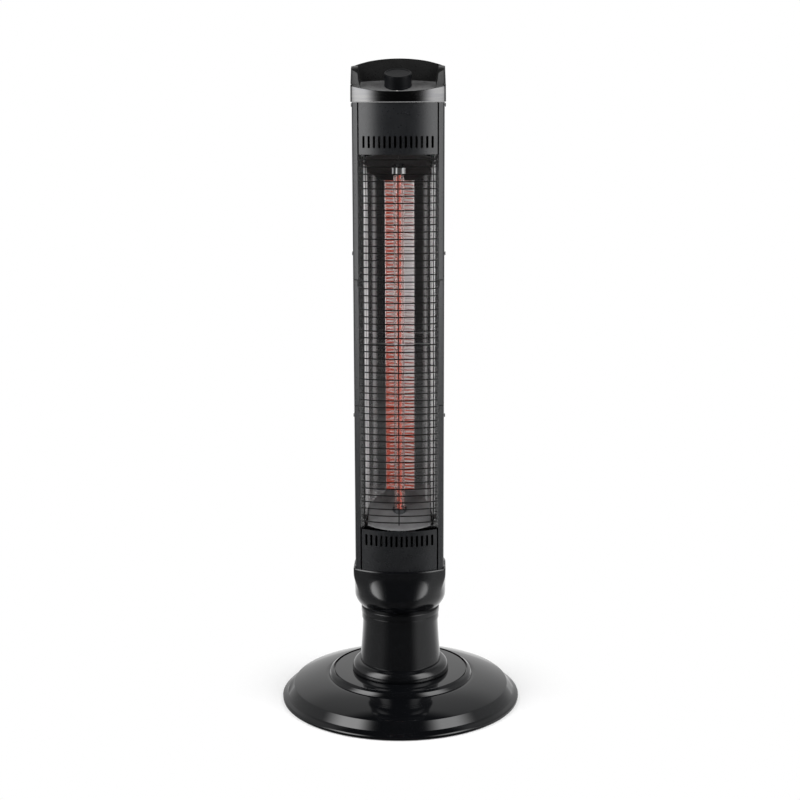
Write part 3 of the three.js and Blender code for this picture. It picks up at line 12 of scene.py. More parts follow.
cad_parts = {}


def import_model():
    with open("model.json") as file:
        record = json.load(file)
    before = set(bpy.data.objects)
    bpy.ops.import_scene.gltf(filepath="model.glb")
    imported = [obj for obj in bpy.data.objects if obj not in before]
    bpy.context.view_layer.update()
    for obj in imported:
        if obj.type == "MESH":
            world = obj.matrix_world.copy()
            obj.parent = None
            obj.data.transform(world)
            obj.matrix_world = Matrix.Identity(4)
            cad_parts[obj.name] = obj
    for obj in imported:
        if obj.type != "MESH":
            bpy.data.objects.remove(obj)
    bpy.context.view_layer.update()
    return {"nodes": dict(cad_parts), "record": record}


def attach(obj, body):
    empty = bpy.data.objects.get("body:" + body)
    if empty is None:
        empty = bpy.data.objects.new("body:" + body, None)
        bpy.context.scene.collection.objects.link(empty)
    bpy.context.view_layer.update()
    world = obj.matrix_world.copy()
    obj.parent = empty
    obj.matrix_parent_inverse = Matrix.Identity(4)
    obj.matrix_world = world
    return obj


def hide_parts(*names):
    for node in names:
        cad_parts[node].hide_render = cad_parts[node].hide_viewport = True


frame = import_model()

MM = 0.001

# ---- Sizes, in millimetres, as in the part's own drawing ----
TOWER_HALF_WIDTH = 64
TOWER_FRONT_Y = -60
TOWER_FRONT_RADIUS = 107
TOWER_SIDE_END_Y = -6
TOWER_BACK_Y = 50
TOWER_BACK_POWER = 2.5
TOWER_CORNER = 3
TOWER_BOTTOM = 203.6
TOWER_TOP = 874
SEAT_GAP = 0.3
HOUSING_INSET = 0.6
HOUSING_SHEET = 1.2
REAR_VENT_ROWS = 3
REAR_VENT_PITCH = 10
REAR_VENT_WIDTH = 34
REAR_VENT_HEIGHT = 3.2
REAR_VENT_X = 22
REAR_VENT_HEIGHTS = (832, 258)

BASE_RADIUS = 176
BASE_EDGE_RADIUS = 159
BASE_EDGE_HEIGHT = 22.2
BASE_BAND_RADIUS = 168.8
BASE_BAND_HEIGHT = 9
BASE_LIP_HEIGHT = 5.6
DISC_RADIUS = 107
DISC_FOOT_HEIGHT = 36.5
DISC_TOP = 42.5
DISC_EDGE = 8
COVER_WALL = 3
BASE_BORE = 20

COLUMN_TOP = 146
COLUMN_TOP_RADIUS = 55.4
COLUMN_FOOT_RADIUS = 60
COLUMN_CREASE = 59
COLUMN_WALL = 3
COLUMN_FOOT_BORE = 40
FLARE_RADIUS = 71.6
NECK_BORE = 34
NECK_RING_RADIUS = 56.8
NECK_RING_LOW = 123.5
NECK_RING_HIGH = 132.5

COLLAR_BOTTOM = 133
COLLAR_BELLY_Z = 163
COLLAR_BELLY_WIDTH = 66.6
COLLAR_BELLY_DEPTH = 72
COLLAR_BELLY_POWER = 2.15
COLLAR_CORNER_LIFT = 6
COLLAR_TOP = 209
COLLAR_LAP = 3
COLLAR_WALL = 2.4
COLLAR_NECK_RADIUS = 56.4
COLLAR_FLOOR_RADIUS = 52
BEAD_RADIUS = 57.6

PANEL_HALF_WIDTH = 54.2
PANEL_RECESS = 0.8
PANEL_SHEET = 1.6
PANEL_RETURN = 12
VENT_COUNT = 14
VENT_PITCH = 7.3
VENT_WIDTH = 3.2
VENT_HEIGHT = 16.4
UPPER_VENT_Z = 820
LOWER_VENT_Z = 254
WINDOW_LOW = 269
WINDOW_HIGH = 803

FRAME_INNER_X = 56.2
FRAME_REAR_Y = -13
FRAME_SHEET = 1.6
SLOT_HEIGHTS = (630, 451)

WIRE_RADIUS = 0.9
WIRE_COUNT = 53
WIRE_PITCH = 9.9
WIRE_TOP_Z = 796
GUARD_HALF_WIDTH = 54
GUARD_FRONT_Y = -55.5
GUARD_BOW = 11
GUARD_UPRIGHT_X = 49.5

LAMP_Y = -18
REFLECTOR_LOW = 269.5
REFLECTOR_HIGH = 802.5
REFLECTOR_DISH = 3
REFLECTOR_BEND_X = 20.8
REFLECTOR_BEND_Y = 18
REFLECTOR_SCALE = 62.5
TUBE_RADIUS = 7.6
TUBE_WALL = 1
TUBE_LOW = 279.3
TUBE_HIGH = 773.7
HELIX_LOW = 277
HELIX_HIGH = 776
HELIX_RADIUS = 3
HELIX_TURNS = 44
RIBBON_HALF_WIDTH = 2.4
RIBBON_HALF_SHEET = 0.3

DECK_TILT = math.radians(20)
DECK_FRONT_Y = -58
DECK_FRONT_Z = 888.5
DECK_BACK_Y = -20
KNOB_Y = -39
KNOB_RADIUS = 19
BAND_LAP = 1.8
BAND_SIDE_TOP = 898
CAP_TOP = 934
CAP_CORNER = (61, -6, 923.6)
CAP_FALL = math.radians(9)
SCOOP_HALF_WIDTH = 55.5
CLEAR_FRONT_Y = -150
CLEAR_TOP_Z = 1000


# ---- Mesh helpers ----
def blend(start, end, share):
    return start + (end - start) * share


def placed(name, data):
    """A new object in the scene."""
    obj = bpy.data.objects.new(name, data)
    bpy.context.scene.collection.objects.link(obj)
    return obj


def tidy_normals(obj, sharp=32):
    """Turns obj's faces outwards and shades it smooth, with edges sharper than an angle kept crisp."""
    shape = bmesh.new()
    shape.from_mesh(obj.data)
    bmesh.ops.recalc_face_normals(shape, faces=shape.faces)
    shape.to_mesh(obj.data)
    shape.free()
    obj.data.shade_smooth()
    obj.data.set_sharp_from_angle(angle=math.radians(sharp))


def mesh_object(name, points, faces, sharp=32):
    """A mesh object from points in millimetres."""
    mesh = bpy.data.meshes.new(name)
    mesh.from_pydata([Vector(p) * MM for p in points], [], faces)
    mesh.validate()
    obj = placed(name, mesh)
    tidy_normals(obj, sharp)
    return obj


def bent(start, corner, end, steps):
    """A curve that leaves start towards a corner and comes to end from it."""
    points = []
    for k in range(steps + 1):
        t = k / steps
        points.append(start * (1 - t) ** 2 + corner * 2 * t * (1 - t) + end * t ** 2)
    return points


def filleted(corners, steps=5):
    """Rounds the corners (x, y, radius) of a closed outline."""
    points = []
    for i, (x, y, radius) in enumerate(corners):
        here = Vector((x, y))
        if radius <= 0:
            points.append(here)
            continue
        before = Vector(corners[i - 1][:2]) - here
        after = Vector(corners[(i + 1) % len(corners)][:2]) - here
        half = before.angle(after) / 2
        reach = min(radius / math.tan(half), 0.48 * before.length, 0.48 * after.length)
        start = here + before.normalized() * reach
        end = here + after.normalized() * reach
        points += bent(start, here, end, steps)
    return points


def turned(name, outline, segments):
    """A solid of revolution about Z from a closed outline of (radius, height) points."""
    points, faces, rings = [], [], []
    for radius, height in outline:
        if radius < 1e-6:
            rings.append([len(points)] * segments)
            points.append((0, 0, height))
            continue
        rings.append(list(range(len(points), len(points) + segments)))
        for k in range(segments):
            angle = 2 * math.pi * k / segments
            points.append((radius * math.cos(angle), radius * math.sin(angle), height))
    for ring, after in zip(rings, rings[1:] + rings[:1]):
        for k in range(segments):
            m = (k + 1) % segments
            face = list(dict.fromkeys((ring[k], ring[m], after[m], after[k])))
            if len(face) > 2:
                faces.append(face)
    return mesh_object(name, points, faces)


def skin(rings, closed=False):
    """The points of rings of equal length, and the faces between them. Closed comes back to the first."""
    count = len(rings[0])
    points = [point for ring in rings for point in ring]
    faces = []
    for r in range(len(rings) if closed else len(rings) - 1):
        low, high = r * count, (r + 1) % len(rings) * count
        for i in range(count):
            j = (i + 1) % count
            faces.append((low + i, low + j, high + j, high + i))
    return points, faces


def lofted(name, rings, closed=True, sharp=32):
    """A solid through rings of equal length, which is closed in a loop or else capped at both ends."""
    points, faces = skin(rings, closed)
    if not closed:
        count = len(rings[0])
        faces.append(tuple(range(count)))
        faces.append(tuple(range(len(points) - count, len(points))))
    return mesh_object(name, points, faces, sharp)


def prism(name, outline, low, high, sharp=32):
    return lofted(name, [[(x, y, z) for x, y in outline] for z in (low, high)], closed=False, sharp=sharp)


def carve(obj, cutters):
    """Cuts other meshes out of obj, and removes them."""
    for cutter in cutters:
        change = obj.modifiers.new("carve", "BOOLEAN")
        change.operation = "DIFFERENCE"
        change.solver = "EXACT"
        change.object = cutter
    settle(obj)
    for cutter in cutters:
        bpy.data.objects.remove(cutter)


def settle(obj):
    """Turns obj's modifiers into plain mesh."""
    bpy.context.view_layer.update()
    graph = bpy.context.evaluated_depsgraph_get()
    mesh = bpy.data.meshes.new_from_object(obj.evaluated_get(graph))
    obj.modifiers.clear()
    obj.data = mesh
    tidy_normals(obj)


def soften(obj, width, segments=2, angle=40):
    """Rounds obj's edges that are sharper than an angle, by a width in millimetres."""
    bevel = obj.modifiers.new("soften", "BEVEL")
    bevel.width = width * MM
    bevel.segments = segments
    bevel.limit_method = "ANGLE"
    bevel.angle_limit = math.radians(angle)
    bevel.use_clamp_overlap = True
    settle(obj)


def thick_line(bends, thickness):
    """The outline of a bent sheet of even thickness around its middle line."""
    left, right = [], []
    for i, point in enumerate(bends):
        into = point - bends[max(i - 1, 0)]
        out = bends[min(i + 1, len(bends) - 1)] - point
        into = into.normalized() if into.length else out.normalized()
        out = out.normalized() if out.length else into
        along = (into + out).normalized()
        normal = Vector((-along.y, along.x))
        reach = thickness / 2 / max(normal.dot(Vector((-out.y, out.x))), 0.3)
        left.append(point + normal * reach)
        right.insert(0, point - normal * reach)
    return left + right


def mirrored(points):
    """Points on the other side of the middle, in reversed order."""
    return [Vector((-p.x, p.y)) for p in reversed(points)]


def thinned(points):
    """Leaves out each point that all but lies on the one before it."""
    return [p for i, p in enumerate(points) if i == 0 or (p - points[i - 1]).length > 0.05]


# ---- The tower's section ----
def front_y(x, grow=0.0):
    """Where the tower's bowed front is at x, grown outwards by a distance."""
    return TOWER_FRONT_Y + TOWER_FRONT_RADIUS - math.sqrt((TOWER_FRONT_RADIUS + grow) ** 2 - x ** 2)


def front_arc(from_x, to_x, grow, steps):
    return [
        Vector((x, front_y(x, grow)))
        for x in (from_x + (to_x - from_x) * i / steps for i in range(steps + 1))
    ]


def half_section(grow, fine=1):
    """The right half of the tower's outline, from the middle of the front to the middle of the back."""
    width = TOWER_HALF_WIDTH + grow
    depth = TOWER_BACK_Y - TOWER_SIDE_END_Y + grow
    start_x = width - TOWER_CORNER
    points = front_arc(0, start_x, grow, 14 * fine)[:-1]
    start = Vector((start_x, front_y(start_x, grow)))
    sharp = Vector((width, front_y(width, grow)))
    end = Vector((width, sharp.y + TOWER_CORNER))
    points += bent(start, sharp, end, 5)
    for k in range(1, 6):
        points.append(Vector((width, end.y + (TOWER_SIDE_END_Y - end.y) * k / 6)))
    steps = 18 * fine
    for k in range(steps + 1):
        turn = math.pi / 2 * k / steps
        across, along = (math.cos(turn) if k < steps else 0.0), math.sin(turn)
        reach = ((across / width) ** TOWER_BACK_POWER + (along / depth) ** TOWER_BACK_POWER)
        reach = reach ** (-1 / TOWER_BACK_POWER)
        points.append(Vector((across * reach, TOWER_SIDE_END_Y + along * reach)))
    return points


def section(grow):
    """The tower's whole outline, grown outwards by a distance."""
    half = half_section(grow)
    return half + mirrored(half[1:-1])


def section_normal(x, y):
    """The way the tower's outline faces at a point on it or near it."""
    if y > TOWER_SIDE_END_Y:
        depth = TOWER_BACK_Y - TOWER_SIDE_END_Y
        power = TOWER_BACK_POWER
        across = math.copysign(abs(x) ** (power - 1) / TOWER_HALF_WIDTH ** power, x)
        along = (y - TOWER_SIDE_END_Y) ** (power - 1) / depth ** power
        return Vector((across, along, 0)).normalized()
    if y > front_y(TOWER_HALF_WIDTH) + 1:
        return Vector((math.copysign(1, x), 0, 0))
    return Vector((x, y - TOWER_FRONT_Y - TOWER_FRONT_RADIUS, 0)).normalized()


def follow_section(obj):
    """Shades a cut sheet of the tower as the smooth surface that it was cut from."""
    mesh = obj.data
    normals = [Vector((0, 0, 0))] * len(mesh.loops)
    for face in mesh.polygons:
        middle = face.center / MM
        smooth = section_normal(middle.x, middle.y)
        facing = face.normal.dot(smooth)
        if abs(facing) < math.cos(math.radians(12)):
            continue
        for loop in face.loop_indices:
            corner = mesh.vertices[mesh.loops[loop].vertex_index].co / MM
            normals[loop] = section_normal(corner.x, corner.y) * math.copysign(1, facing)
    mesh.normals_split_custom_set(normals)


def level(points, z):
    return [(p.x, p.y, z) for p in points]


def deck_z(y):
    return DECK_FRONT_Z + (y - DECK_FRONT_Y) * math.tan(DECK_TILT)


# ---- Materials ----
class Nodes:
    """The shader nodes of a material or a world."""

    def __init__(self, owner):
        owner.use_nodes = True
        self.nodes = owner.node_tree.nodes
        self.links = owner.node_tree.links
        self.nodes.clear()

    def put(self, value, socket):
        """Links another node's output to a socket, or sets a constant on the socket itself."""
        if isinstance(value, bpy.types.NodeSocket):
            self.links.new(value, socket)
        else:
            socket.default_value = value

    def fill(self, node, **inputs):
        for name, value in inputs.items():
            self.put(value, node.inputs[name.replace("_", " ")])
        return node

    def node(self, kind, **inputs):
        return self.fill(self.nodes.new(kind), **inputs)

    def math(self, operation, *values):
        node = self.nodes.new("ShaderNodeMath")
        node.operation = operation
        for socket, value in zip(node.inputs, values):
            self.put(value, socket)
        return node.outputs[0]

    def white(self, kind, strength):
        return self.node(kind, Color=(1, 1, 1, 1), Strength=strength).outputs[0]

    def mix(self, share, first, second):
        node = self.node("ShaderNodeMixShader", Fac=share)
        self.put(first, node.inputs[1])
        self.put(second, node.inputs[2])
        return node.outputs[0]

    def shown_ray(self):
        """1 for rays that see the background: straight from the camera, by reflection or through glass."""
        path = self.node("ShaderNodeLightPath").outputs
        total = path["Is Camera Ray"]
        for name in ("Is Glossy Ray", "Is Transmission Ray"):
            total = self.math("MAXIMUM", total, path[name])
        return total


class Look(Nodes):
    """One procedural material."""

    def __init__(self, name):
        self.name = name
        self.material = bpy.data.materials.new(name)
        super().__init__(self.material)
        self.output = self.node("ShaderNodeOutputMaterial")
        self.shader = self.node("ShaderNodeBsdfPrincipled")
        self.put(self.shader.outputs[0], self.output.inputs[0])

    def set(self, **inputs):
        self.fill(self.shader, **inputs)

    def noise(self, scale, detail=3.0, stretch=(1, 1, 1)):
        place = self.node("ShaderNodeTexCoord").outputs["Object"]
        mapping = self.node("ShaderNodeMapping", Vector=place, Scale=stretch).outputs["Vector"]
        return self.node("ShaderNodeTexNoise", Vector=mapping, Scale=scale, Detail=detail).outputs["Fac"]

    def rise(self, source, start, end, low=0.0, high=1.0, course="SMOOTHSTEP"):
        """Maps a source to between two numbers, eased at both ends unless its course is LINEAR."""
        node = self.node("ShaderNodeMapRange", From_Min=start, From_Max=end, To_Min=low, To_Max=high)
        node.interpolation_type = course
        self.put(source, node.inputs["Value"])
        return node.outputs["Result"]

    def stops(self, source, *marks):
        """A line of greys or colours over a source, from marks (where, colour)."""
        node = self.node("ShaderNodeValToRGB", Fac=source)
        while len(node.color_ramp.elements) < len(marks):
            node.color_ramp.elements.new(0.5)
        for element, (where, colour) in zip(node.color_ramp.elements, marks):
            element.position = where
            element.color = (*colour, 1) if isinstance(colour, tuple) else (colour, colour, colour, 1)
        return node.outputs["Color"]

    def ramp(self, source, low, high, start=0.3, end=0.7):
        """Maps a source evenly to between two numbers or two colours."""
        if isinstance(low, tuple):
            return self.stops(source, (start, low), (end, high))
        return self.rise(source, start, end, low, high, "LINEAR")

    def patch(self, strength, *masks):
        """A soft-edged patch: the strength times all its masks."""
        total = strength
        for mask in masks:
            total = self.math("MULTIPLY", mask, total)
        return total

    def place(self):
        """The object's own x, y and z, in metres."""
        where = self.node("ShaderNodeTexCoord").outputs["Object"]
        return self.node("ShaderNodeSeparateXYZ", Vector=where).outputs

    def radius(self, x, y):
        """The distance from the Z axis."""
        square = self.math("ADD", self.math("MULTIPLY", x, x), self.math("MULTIPLY", y, y))
        return self.math("SQRT", square)

    def bump(self, source, depth, strength):
        """Relief of a depth in millimetres."""
        node = self.node("ShaderNodeBump", Distance=depth * MM, Strength=strength, Height=source)
        self.set(Normal=node.outputs["Normal"])


def grained(name, scales, low, high, rough, relief, detail=2, **inputs):
    """A look whose colour, roughness and relief each follow a noise of their own scale."""
    look = Look(name)
    look.set(
        Base_Color=look.ramp(look.noise(scales[0]), low, high),
        Roughness=look.ramp(look.noise(scales[1]), *rough),
        **inputs,
    )
    look.bump(look.noise(scales[2], detail), *relief)
    return look


def gloss_black(name, rough):
    low, high = (0.0020, 0.0022, 0.0027), (0.0032, 0.0035, 0.0042)
    return grained(name, (9, 60, 140), low, high, (rough, rough + 0.03), (0.012, 0.25), IOR=1.5)


def plain_steel(name, colour, rough):
    darker = tuple(c * 0.85 for c in colour)
    return grained(name, (80, 200, 900), darker, colour, (rough, rough + 0.12), (0.01, 0.4), Metallic=1.0)


def dull(name, low, high, rough):
    return grained(name, (90, 300, 900), low, high, (rough, rough + 0.1), (0.05, 0.6), detail=3)


def cap_black():
    """Satin plastic: the sloping deck under the knob is painted a paler tone than the walls around it,
    standing in for the light on its upward face.
    """
    look = Look("black_cap_plastic")
    _, y, z = look.place()
    slope = look.math("MULTIPLY", look.math("SUBTRACT", y, DECK_FRONT_Y * MM), math.tan(DECK_TILT))
    over = look.math("SUBTRACT", look.math("SUBTRACT", z, DECK_FRONT_Z * MM), slope)
    # Painted light: the deck, facing up, is made paler than the walls of the hollow around it.
    painted_light_tone = look.rise(over, 0.0003, 0.0009, 0.125, 0.010)
    look.set(
        Base_Color=look.math("MULTIPLY", painted_light_tone, look.ramp(look.noise(60), 0.85, 1.15)),
        Roughness=look.ramp(look.noise(400), 0.26, 0.34),
        Specular_IOR_Level=0.22,
        IOR=1.5,
    )
    look.bump(look.noise(2200, 2), 0.02, 0.2)
    return look


def bright_trim():
    """Dark chromed metal, brushed around the tower."""
    look = Look("bright_trim")
    look.set(
        Base_Color=look.ramp(look.noise(30, 2, (1, 1, 12)), (0.08, 0.08, 0.083), (0.10, 0.099, 0.098)),
        Roughness=look.ramp(look.noise(50, 2, (0.3, 0.3, 30)), 0.12, 0.18),
        Metallic=1.0,
    )
    look.bump(look.noise(40, 2, (0.2, 0.2, 40)), 0.01, 0.4)
    return look


def polished():
    """Bright rolled aluminium, with painted reflections where it turns dull and pale: bands along its flanks
    and ripples across its back.
    """
    look = Look("polished_reflector")
    x, _, z = look.place()
    # How far out to either side, as a share of the scale. The left side's pattern sits nearer the middle.
    out = look.math("ADD", look.math("ABSOLUTE", x), look.rise(x, -0.012, -0.016, 0, 0.0014))
    out = look.math("DIVIDE", out, REFLECTOR_SCALE * MM)
    # Painted reflections: dull, pale bands down each flank, at set shares of the way out.
    flank_reflection = look.stops(
        out, (0.0, 0), (0.52, 0), (0.565, 0.2), (0.60, 0.34), (0.63, 0.3), (0.655, 0.02), (0.72, 0.04),
        (0.745, 0.6), (0.765, 0.5), (0.775, 0.25), (0.785, 0.65), (0.805, 0.55), (0.825, 0.08),
    )
    streaks = look.ramp(look.noise(160, 3, (1, 1, 0.02)), 0.45, 1.25)
    # How much of each ripple is painted reflection, dull and pale, by height and side.
    height = look.ramp(z, 0.0, 1.0, 0.27, 0.80)
    left = look.stops(
        height, (0.0, 0.15), (0.3, 0.2), (0.46, 0.26), (0.54, 0.7), (0.63, 0.8), (0.7, 0.32), (0.9, 0.5),
        (1.0, 0.3),
    )
    right = look.stops(
        height, (0.0, 0.2), (0.2, 0.3), (0.36, 0.5), (0.47, 0.85), (0.7, 1.0), (0.85, 0.85), (0.95, 0.7),
        (1.0, 0.4),
    )
    side = look.rise(x, -0.004, 0.004)
    share = look.math("ADD", left, look.math("MULTIPLY", side, look.math("SUBTRACT", right, left)))
    share = look.math("SUBTRACT", share, look.rise(x, -0.011, -0.019, 0, 0.3))
    # The ripples are painted reflections: stripes half a wire pitch apart.
    cycle = 2 * math.pi / (WIRE_PITCH * MM / 2)
    wander = look.math("MULTIPLY", look.noise(45), 7.0)
    wave = look.math("SINE", look.math("ADD", look.math("MULTIPLY", z, cycle), wander))
    wave = look.math("ADD", look.math("MULTIPLY", wave, 0.5), 0.5)
    ripple_reflection = look.rise(look.math("SUBTRACT", wave, look.math("SUBTRACT", 1.0, share)), -0.14, 0.14)
    back = look.stops(out, (0.0, 1), (0.30, 1), (0.34, 0.2), (0.36, 0))
    ripple_reflection = look.patch(ripple_reflection, back, look.rise(x, -0.004, 0.004, 0.74, 0.97))
    # Where the painted reflection is strong, the sheet is dull and pale instead of mirroring.
    painted_reflection = look.math("ADD", look.math("MULTIPLY", flank_reflection, streaks), ripple_reflection)
    painted_reflection = look.math("MINIMUM", painted_reflection, 0.95)
    look.set(
        Base_Color=look.ramp(look.noise(12, 3, (3, 3, 0.4)), (0.78, 0.78, 0.785), (0.86, 0.86, 0.865)),
        Metallic=look.math("SUBTRACT", 1.0, painted_reflection),
        Roughness=look.math("ADD", look.math("MULTIPLY", painted_reflection, 0.4), 0.09),
    )
    look.bump(look.noise(9, 2, (2, 2, 1)), 0.25, 0.2)
    return look


def quartz():
    look = Look("quartz_glass")
    look.set(
        Base_Color=look.ramp(look.noise(20, 2, (1, 1, 0.2)), (0.78, 0.66, 0.64), (0.86, 0.76, 0.74)),
        Roughness=look.ramp(look.noise(60), 0.02, 0.08),
        Transmission_Weight=0.92,
        Specular_IOR_Level=0.3,
        IOR=1.3,
    )
    return look


def glowing():
    look = Look("glowing_carbon")
    look.set(
        Base_Color=(0.1, 0.02, 0.01, 1),
        Roughness=0.7,
        Emission_Color=look.ramp(look.noise(90, 2, (1, 1, 0.6)), (1.0, 0.13, 0.06), (1.0, 0.20, 0.11)),
        Emission_Strength=0.5,
    )
    return look


def ribbed_ceramic():
    """The lamp's upper cap: pale on its ribs, with painted shade between them and on the taper under its
    flange.
    """
    look = Look("ribbed_ceramic")
    x, y, _ = look.place()
    reach = look.radius(x, look.math("SUBTRACT", y, LAMP_Y * MM))
    # Painted shade: darker where the cap draws in, between the ribs and on the taper under the flange.
    painted_light_tone = look.rise(reach, 0.0078, 0.009, 0.03, 0.72)
    look.set(
        Base_Color=look.math("MULTIPLY", painted_light_tone, look.ramp(look.noise(150), 0.85, 1.1)),
        Roughness=look.ramp(look.noise(150), 0.35, 0.5),
    )
    look.bump(look.noise(700, 2), 0.02, 0.4)
    return look


LOOKS = {look.name: look.material for look in (
    gloss_black("gloss_black_plastic", 0.05),
    gloss_black("soft_gloss", 0.13),
    grained(
        "satin_black_paint", (40, 300, 1400), (0.0075, 0.008, 0.009), (0.0105, 0.011, 0.0122),
        (0.27, 0.30), (0.02, 0.2), Specular_IOR_Level=0.37, IOR=1.5,
    ),
    cap_black(),
    bright_trim(),
    polished(),
    grained(
        "knob_plastic", (60, 300, 1500), (0.003, 0.0032, 0.0037), (0.005, 0.0053, 0.006),
        (0.28, 0.36), (0.01, 0.4), Specular_IOR_Level=0.08, IOR=1.45,
    ),
    dull("dull_plate", (0.10, 0.10, 0.102), (0.125, 0.125, 0.127), 0.5),
    # Near black: used for the upper end plate, the upper chassis plate and the guard clips.
    dull("near_black_plate", (0.003, 0.003, 0.003), (0.005, 0.005, 0.005), 0.6),
    plain_steel("plated_steel", (0.5, 0.5, 0.51), 0.28),
    plain_steel("fastener_steel", (0.45, 0.46, 0.47), 0.3),
    grained(
        "black_wire", (200, 500, 2500), (0.002, 0.002, 0.002), (0.004, 0.004, 0.004),
        (0.32, 0.45), (0.01, 0.4), Specular_IOR_Level=0.2,
    ),
    quartz(),
    glowing(),
    grained(
        "ceramic", (70, 150, 700), (0.70, 0.68, 0.64), (0.80, 0.78, 0.74), (0.45, 0.6), (0.02, 0.4),
    ),
    ribbed_ceramic(),
    dull("rubber", (0.012, 0.012, 0.012), (0.02, 0.02, 0.02), 0.8),
    dull("cast_weight", (0.04, 0.04, 0.042), (0.06, 0.06, 0.062), 0.7),
    dull("insulator", (0.03, 0.032, 0.035), (0.045, 0.048, 0.052), 0.5),
)}
SLOT_OF = {row["node"]: row["material_slot"] for row in frame["record"]["subparts"]}
# The nodes whose finish here isn't that of their slot.
FINISH = {
    "collar": "soft_gloss",
    "column": "soft_gloss",
    "neck_ring": "soft_gloss",
    "selector_knob": "knob_plastic",
    "lamp_cap_upper": "ribbed_ceramic",
    "reflector_end_lower": "dull_plate",
    # The upper end plate and the upper chassis plate, over the bay, are near black; the lower end plate is
    # grey.
    "reflector_end_upper": "near_black_plate",
    "chassis_plate_upper": "near_black_plate",
    "lamp_cap_lower": "insulator",
    "guard_clip_upper_left": "near_black_plate",
    "guard_clip_upper_right": "near_black_plate",
    "guard_clip_lower_left": "near_black_plate",
    "guard_clip_lower_right": "near_black_plate",
}


def dress(obj, finish):
    obj.data.materials.clear()
    obj.data.materials.append(LOOKS[finish])


def stand_in(obj, *nodes, body="tower"):
    """A fine piece that stands for CAD nodes: same finish, same body."""
    slot = SLOT_OF[nodes[0]]
    dress(obj, FINISH.get(nodes[0], slot))
    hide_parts(*nodes)
    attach(obj, body)


for node, obj in frame["nodes"].items():
    dress(obj, FINISH.get(node, SLOT_OF[node]))


# ---- Base, column and collar ----
def base_cover():
    """A disc with a grooved edge, a falling dome around it, and a lip that stands on the ground."""
    dome = []
    for k in range(13):
        part = k / 12
        radius = blend(DISC_RADIUS + 1.5, BASE_EDGE_RADIUS, part)
        drop = (DISC_FOOT_HEIGHT - BASE_EDGE_HEIGHT) * (0.55 * part + 0.45 * part ** 2)
        dome.append((radius, DISC_FOOT_HEIGHT - drop, 0 if k < 12 else 1.5))
    edge = DISC_RADIUS - DISC_EDGE
    corners = [
        (BASE_BORE, DISC_TOP, 1),
        (edge - 1.2, DISC_TOP, 0.4),
        (edge - 1.1, DISC_TOP - 2.6, 0.1),
        (edge + 1.0, DISC_TOP - 2.6, 0.1),
        (edge + 1.2, DISC_TOP + 1.3, 0.5),
        (edge + 5.2, DISC_TOP - 1.4, 2),
        (DISC_RADIUS - 0.8, DISC_FOOT_HEIGHT + 1.4, 0.8),
        (DISC_RADIUS, DISC_FOOT_HEIGHT - 0.5, 0.3),
        *dome,
        (BASE_BAND_RADIUS, BASE_BAND_HEIGHT, 2.5),
        (BASE_RADIUS - 1.2, BASE_LIP_HEIGHT + 0.7, 0.8),
        (BASE_RADIUS, BASE_LIP_HEIGHT - 0.6, 0.5),
        (BASE_RADIUS, 1, 0.8),
        (BASE_RADIUS - COVER_WALL, 1, 0),
        (BASE_RADIUS - COVER_WALL, BASE_LIP_HEIGHT, 0),
        (BASE_EDGE_RADIUS, BASE_EDGE_HEIGHT - COVER_WALL * 1.25, 0),
        (DISC_RADIUS - COVER_WALL, DISC_FOOT_HEIGHT - COVER_WALL, 0),
        (edge - COVER_WALL, DISC_TOP - COVER_WALL, 0),
        (BASE_BORE, DISC_TOP - COVER_WALL, 0),
    ]
    stand_in(turned("fine_base_cover", filleted(corners), 192), "base_cover")


def column():
    """The column with its bulging foot, and the ring around its neck."""
    foot = DISC_TOP + SEAT_GAP
    bulge = []
    for k in range(1, 12):
        turn = k / 12 * math.pi / 2 * 0.97
        drop = (COLUMN_CREASE - foot - COLUMN_WALL) * (1 - math.cos(turn))
        bulge.append((blend(COLUMN_FOOT_RADIUS, FLARE_RADIUS, math.sin(turn)), COLUMN_CREASE - drop, 0))
    straight = []
    for k in range(8):
        part = k / 8
        z = blend(NECK_RING_LOW, COLUMN_CREASE, part)
        straight.append((blend(COLUMN_TOP_RADIUS, COLUMN_FOOT_RADIUS, part ** 1.5), z, 0))
    corners = [
        (NECK_BORE, COLUMN_TOP, 0),
        (COLUMN_TOP_RADIUS, COLUMN_TOP, 0.8),
        *straight,
        (COLUMN_FOOT_RADIUS, COLUMN_CREASE, 0),
        *bulge,
        (FLARE_RADIUS, foot + 1.6, 1.2),
        (FLARE_RADIUS - 0.6, foot, 0.4),
        (COLUMN_FOOT_BORE, foot, 0),
        (COLUMN_FOOT_BORE, foot + COLUMN_WALL, 0),
        (COLUMN_FOOT_RADIUS - COLUMN_WALL, COLUMN_CREASE - COLUMN_WALL, 0),
        (COLUMN_TOP_RADIUS - COLUMN_WALL, COLUMN_TOP - COLUMN_WALL, 0),
        (NECK_BORE, COLUMN_TOP - COLUMN_WALL, 0),
    ]
    stand_in(turned("fine_column", filleted(corners), 160), "column")
    inner = COLUMN_TOP_RADIUS + SEAT_GAP
    ring = [
        (inner, NECK_RING_LOW, 0),
        (NECK_RING_RADIUS, NECK_RING_LOW, 0.7),
        (NECK_RING_RADIUS, NECK_RING_HIGH, 0.7),
        (inner, NECK_RING_HIGH, 0),
    ]
    stand_in(turned("fine_neck_ring", filleted(ring), 160), "neck_ring")


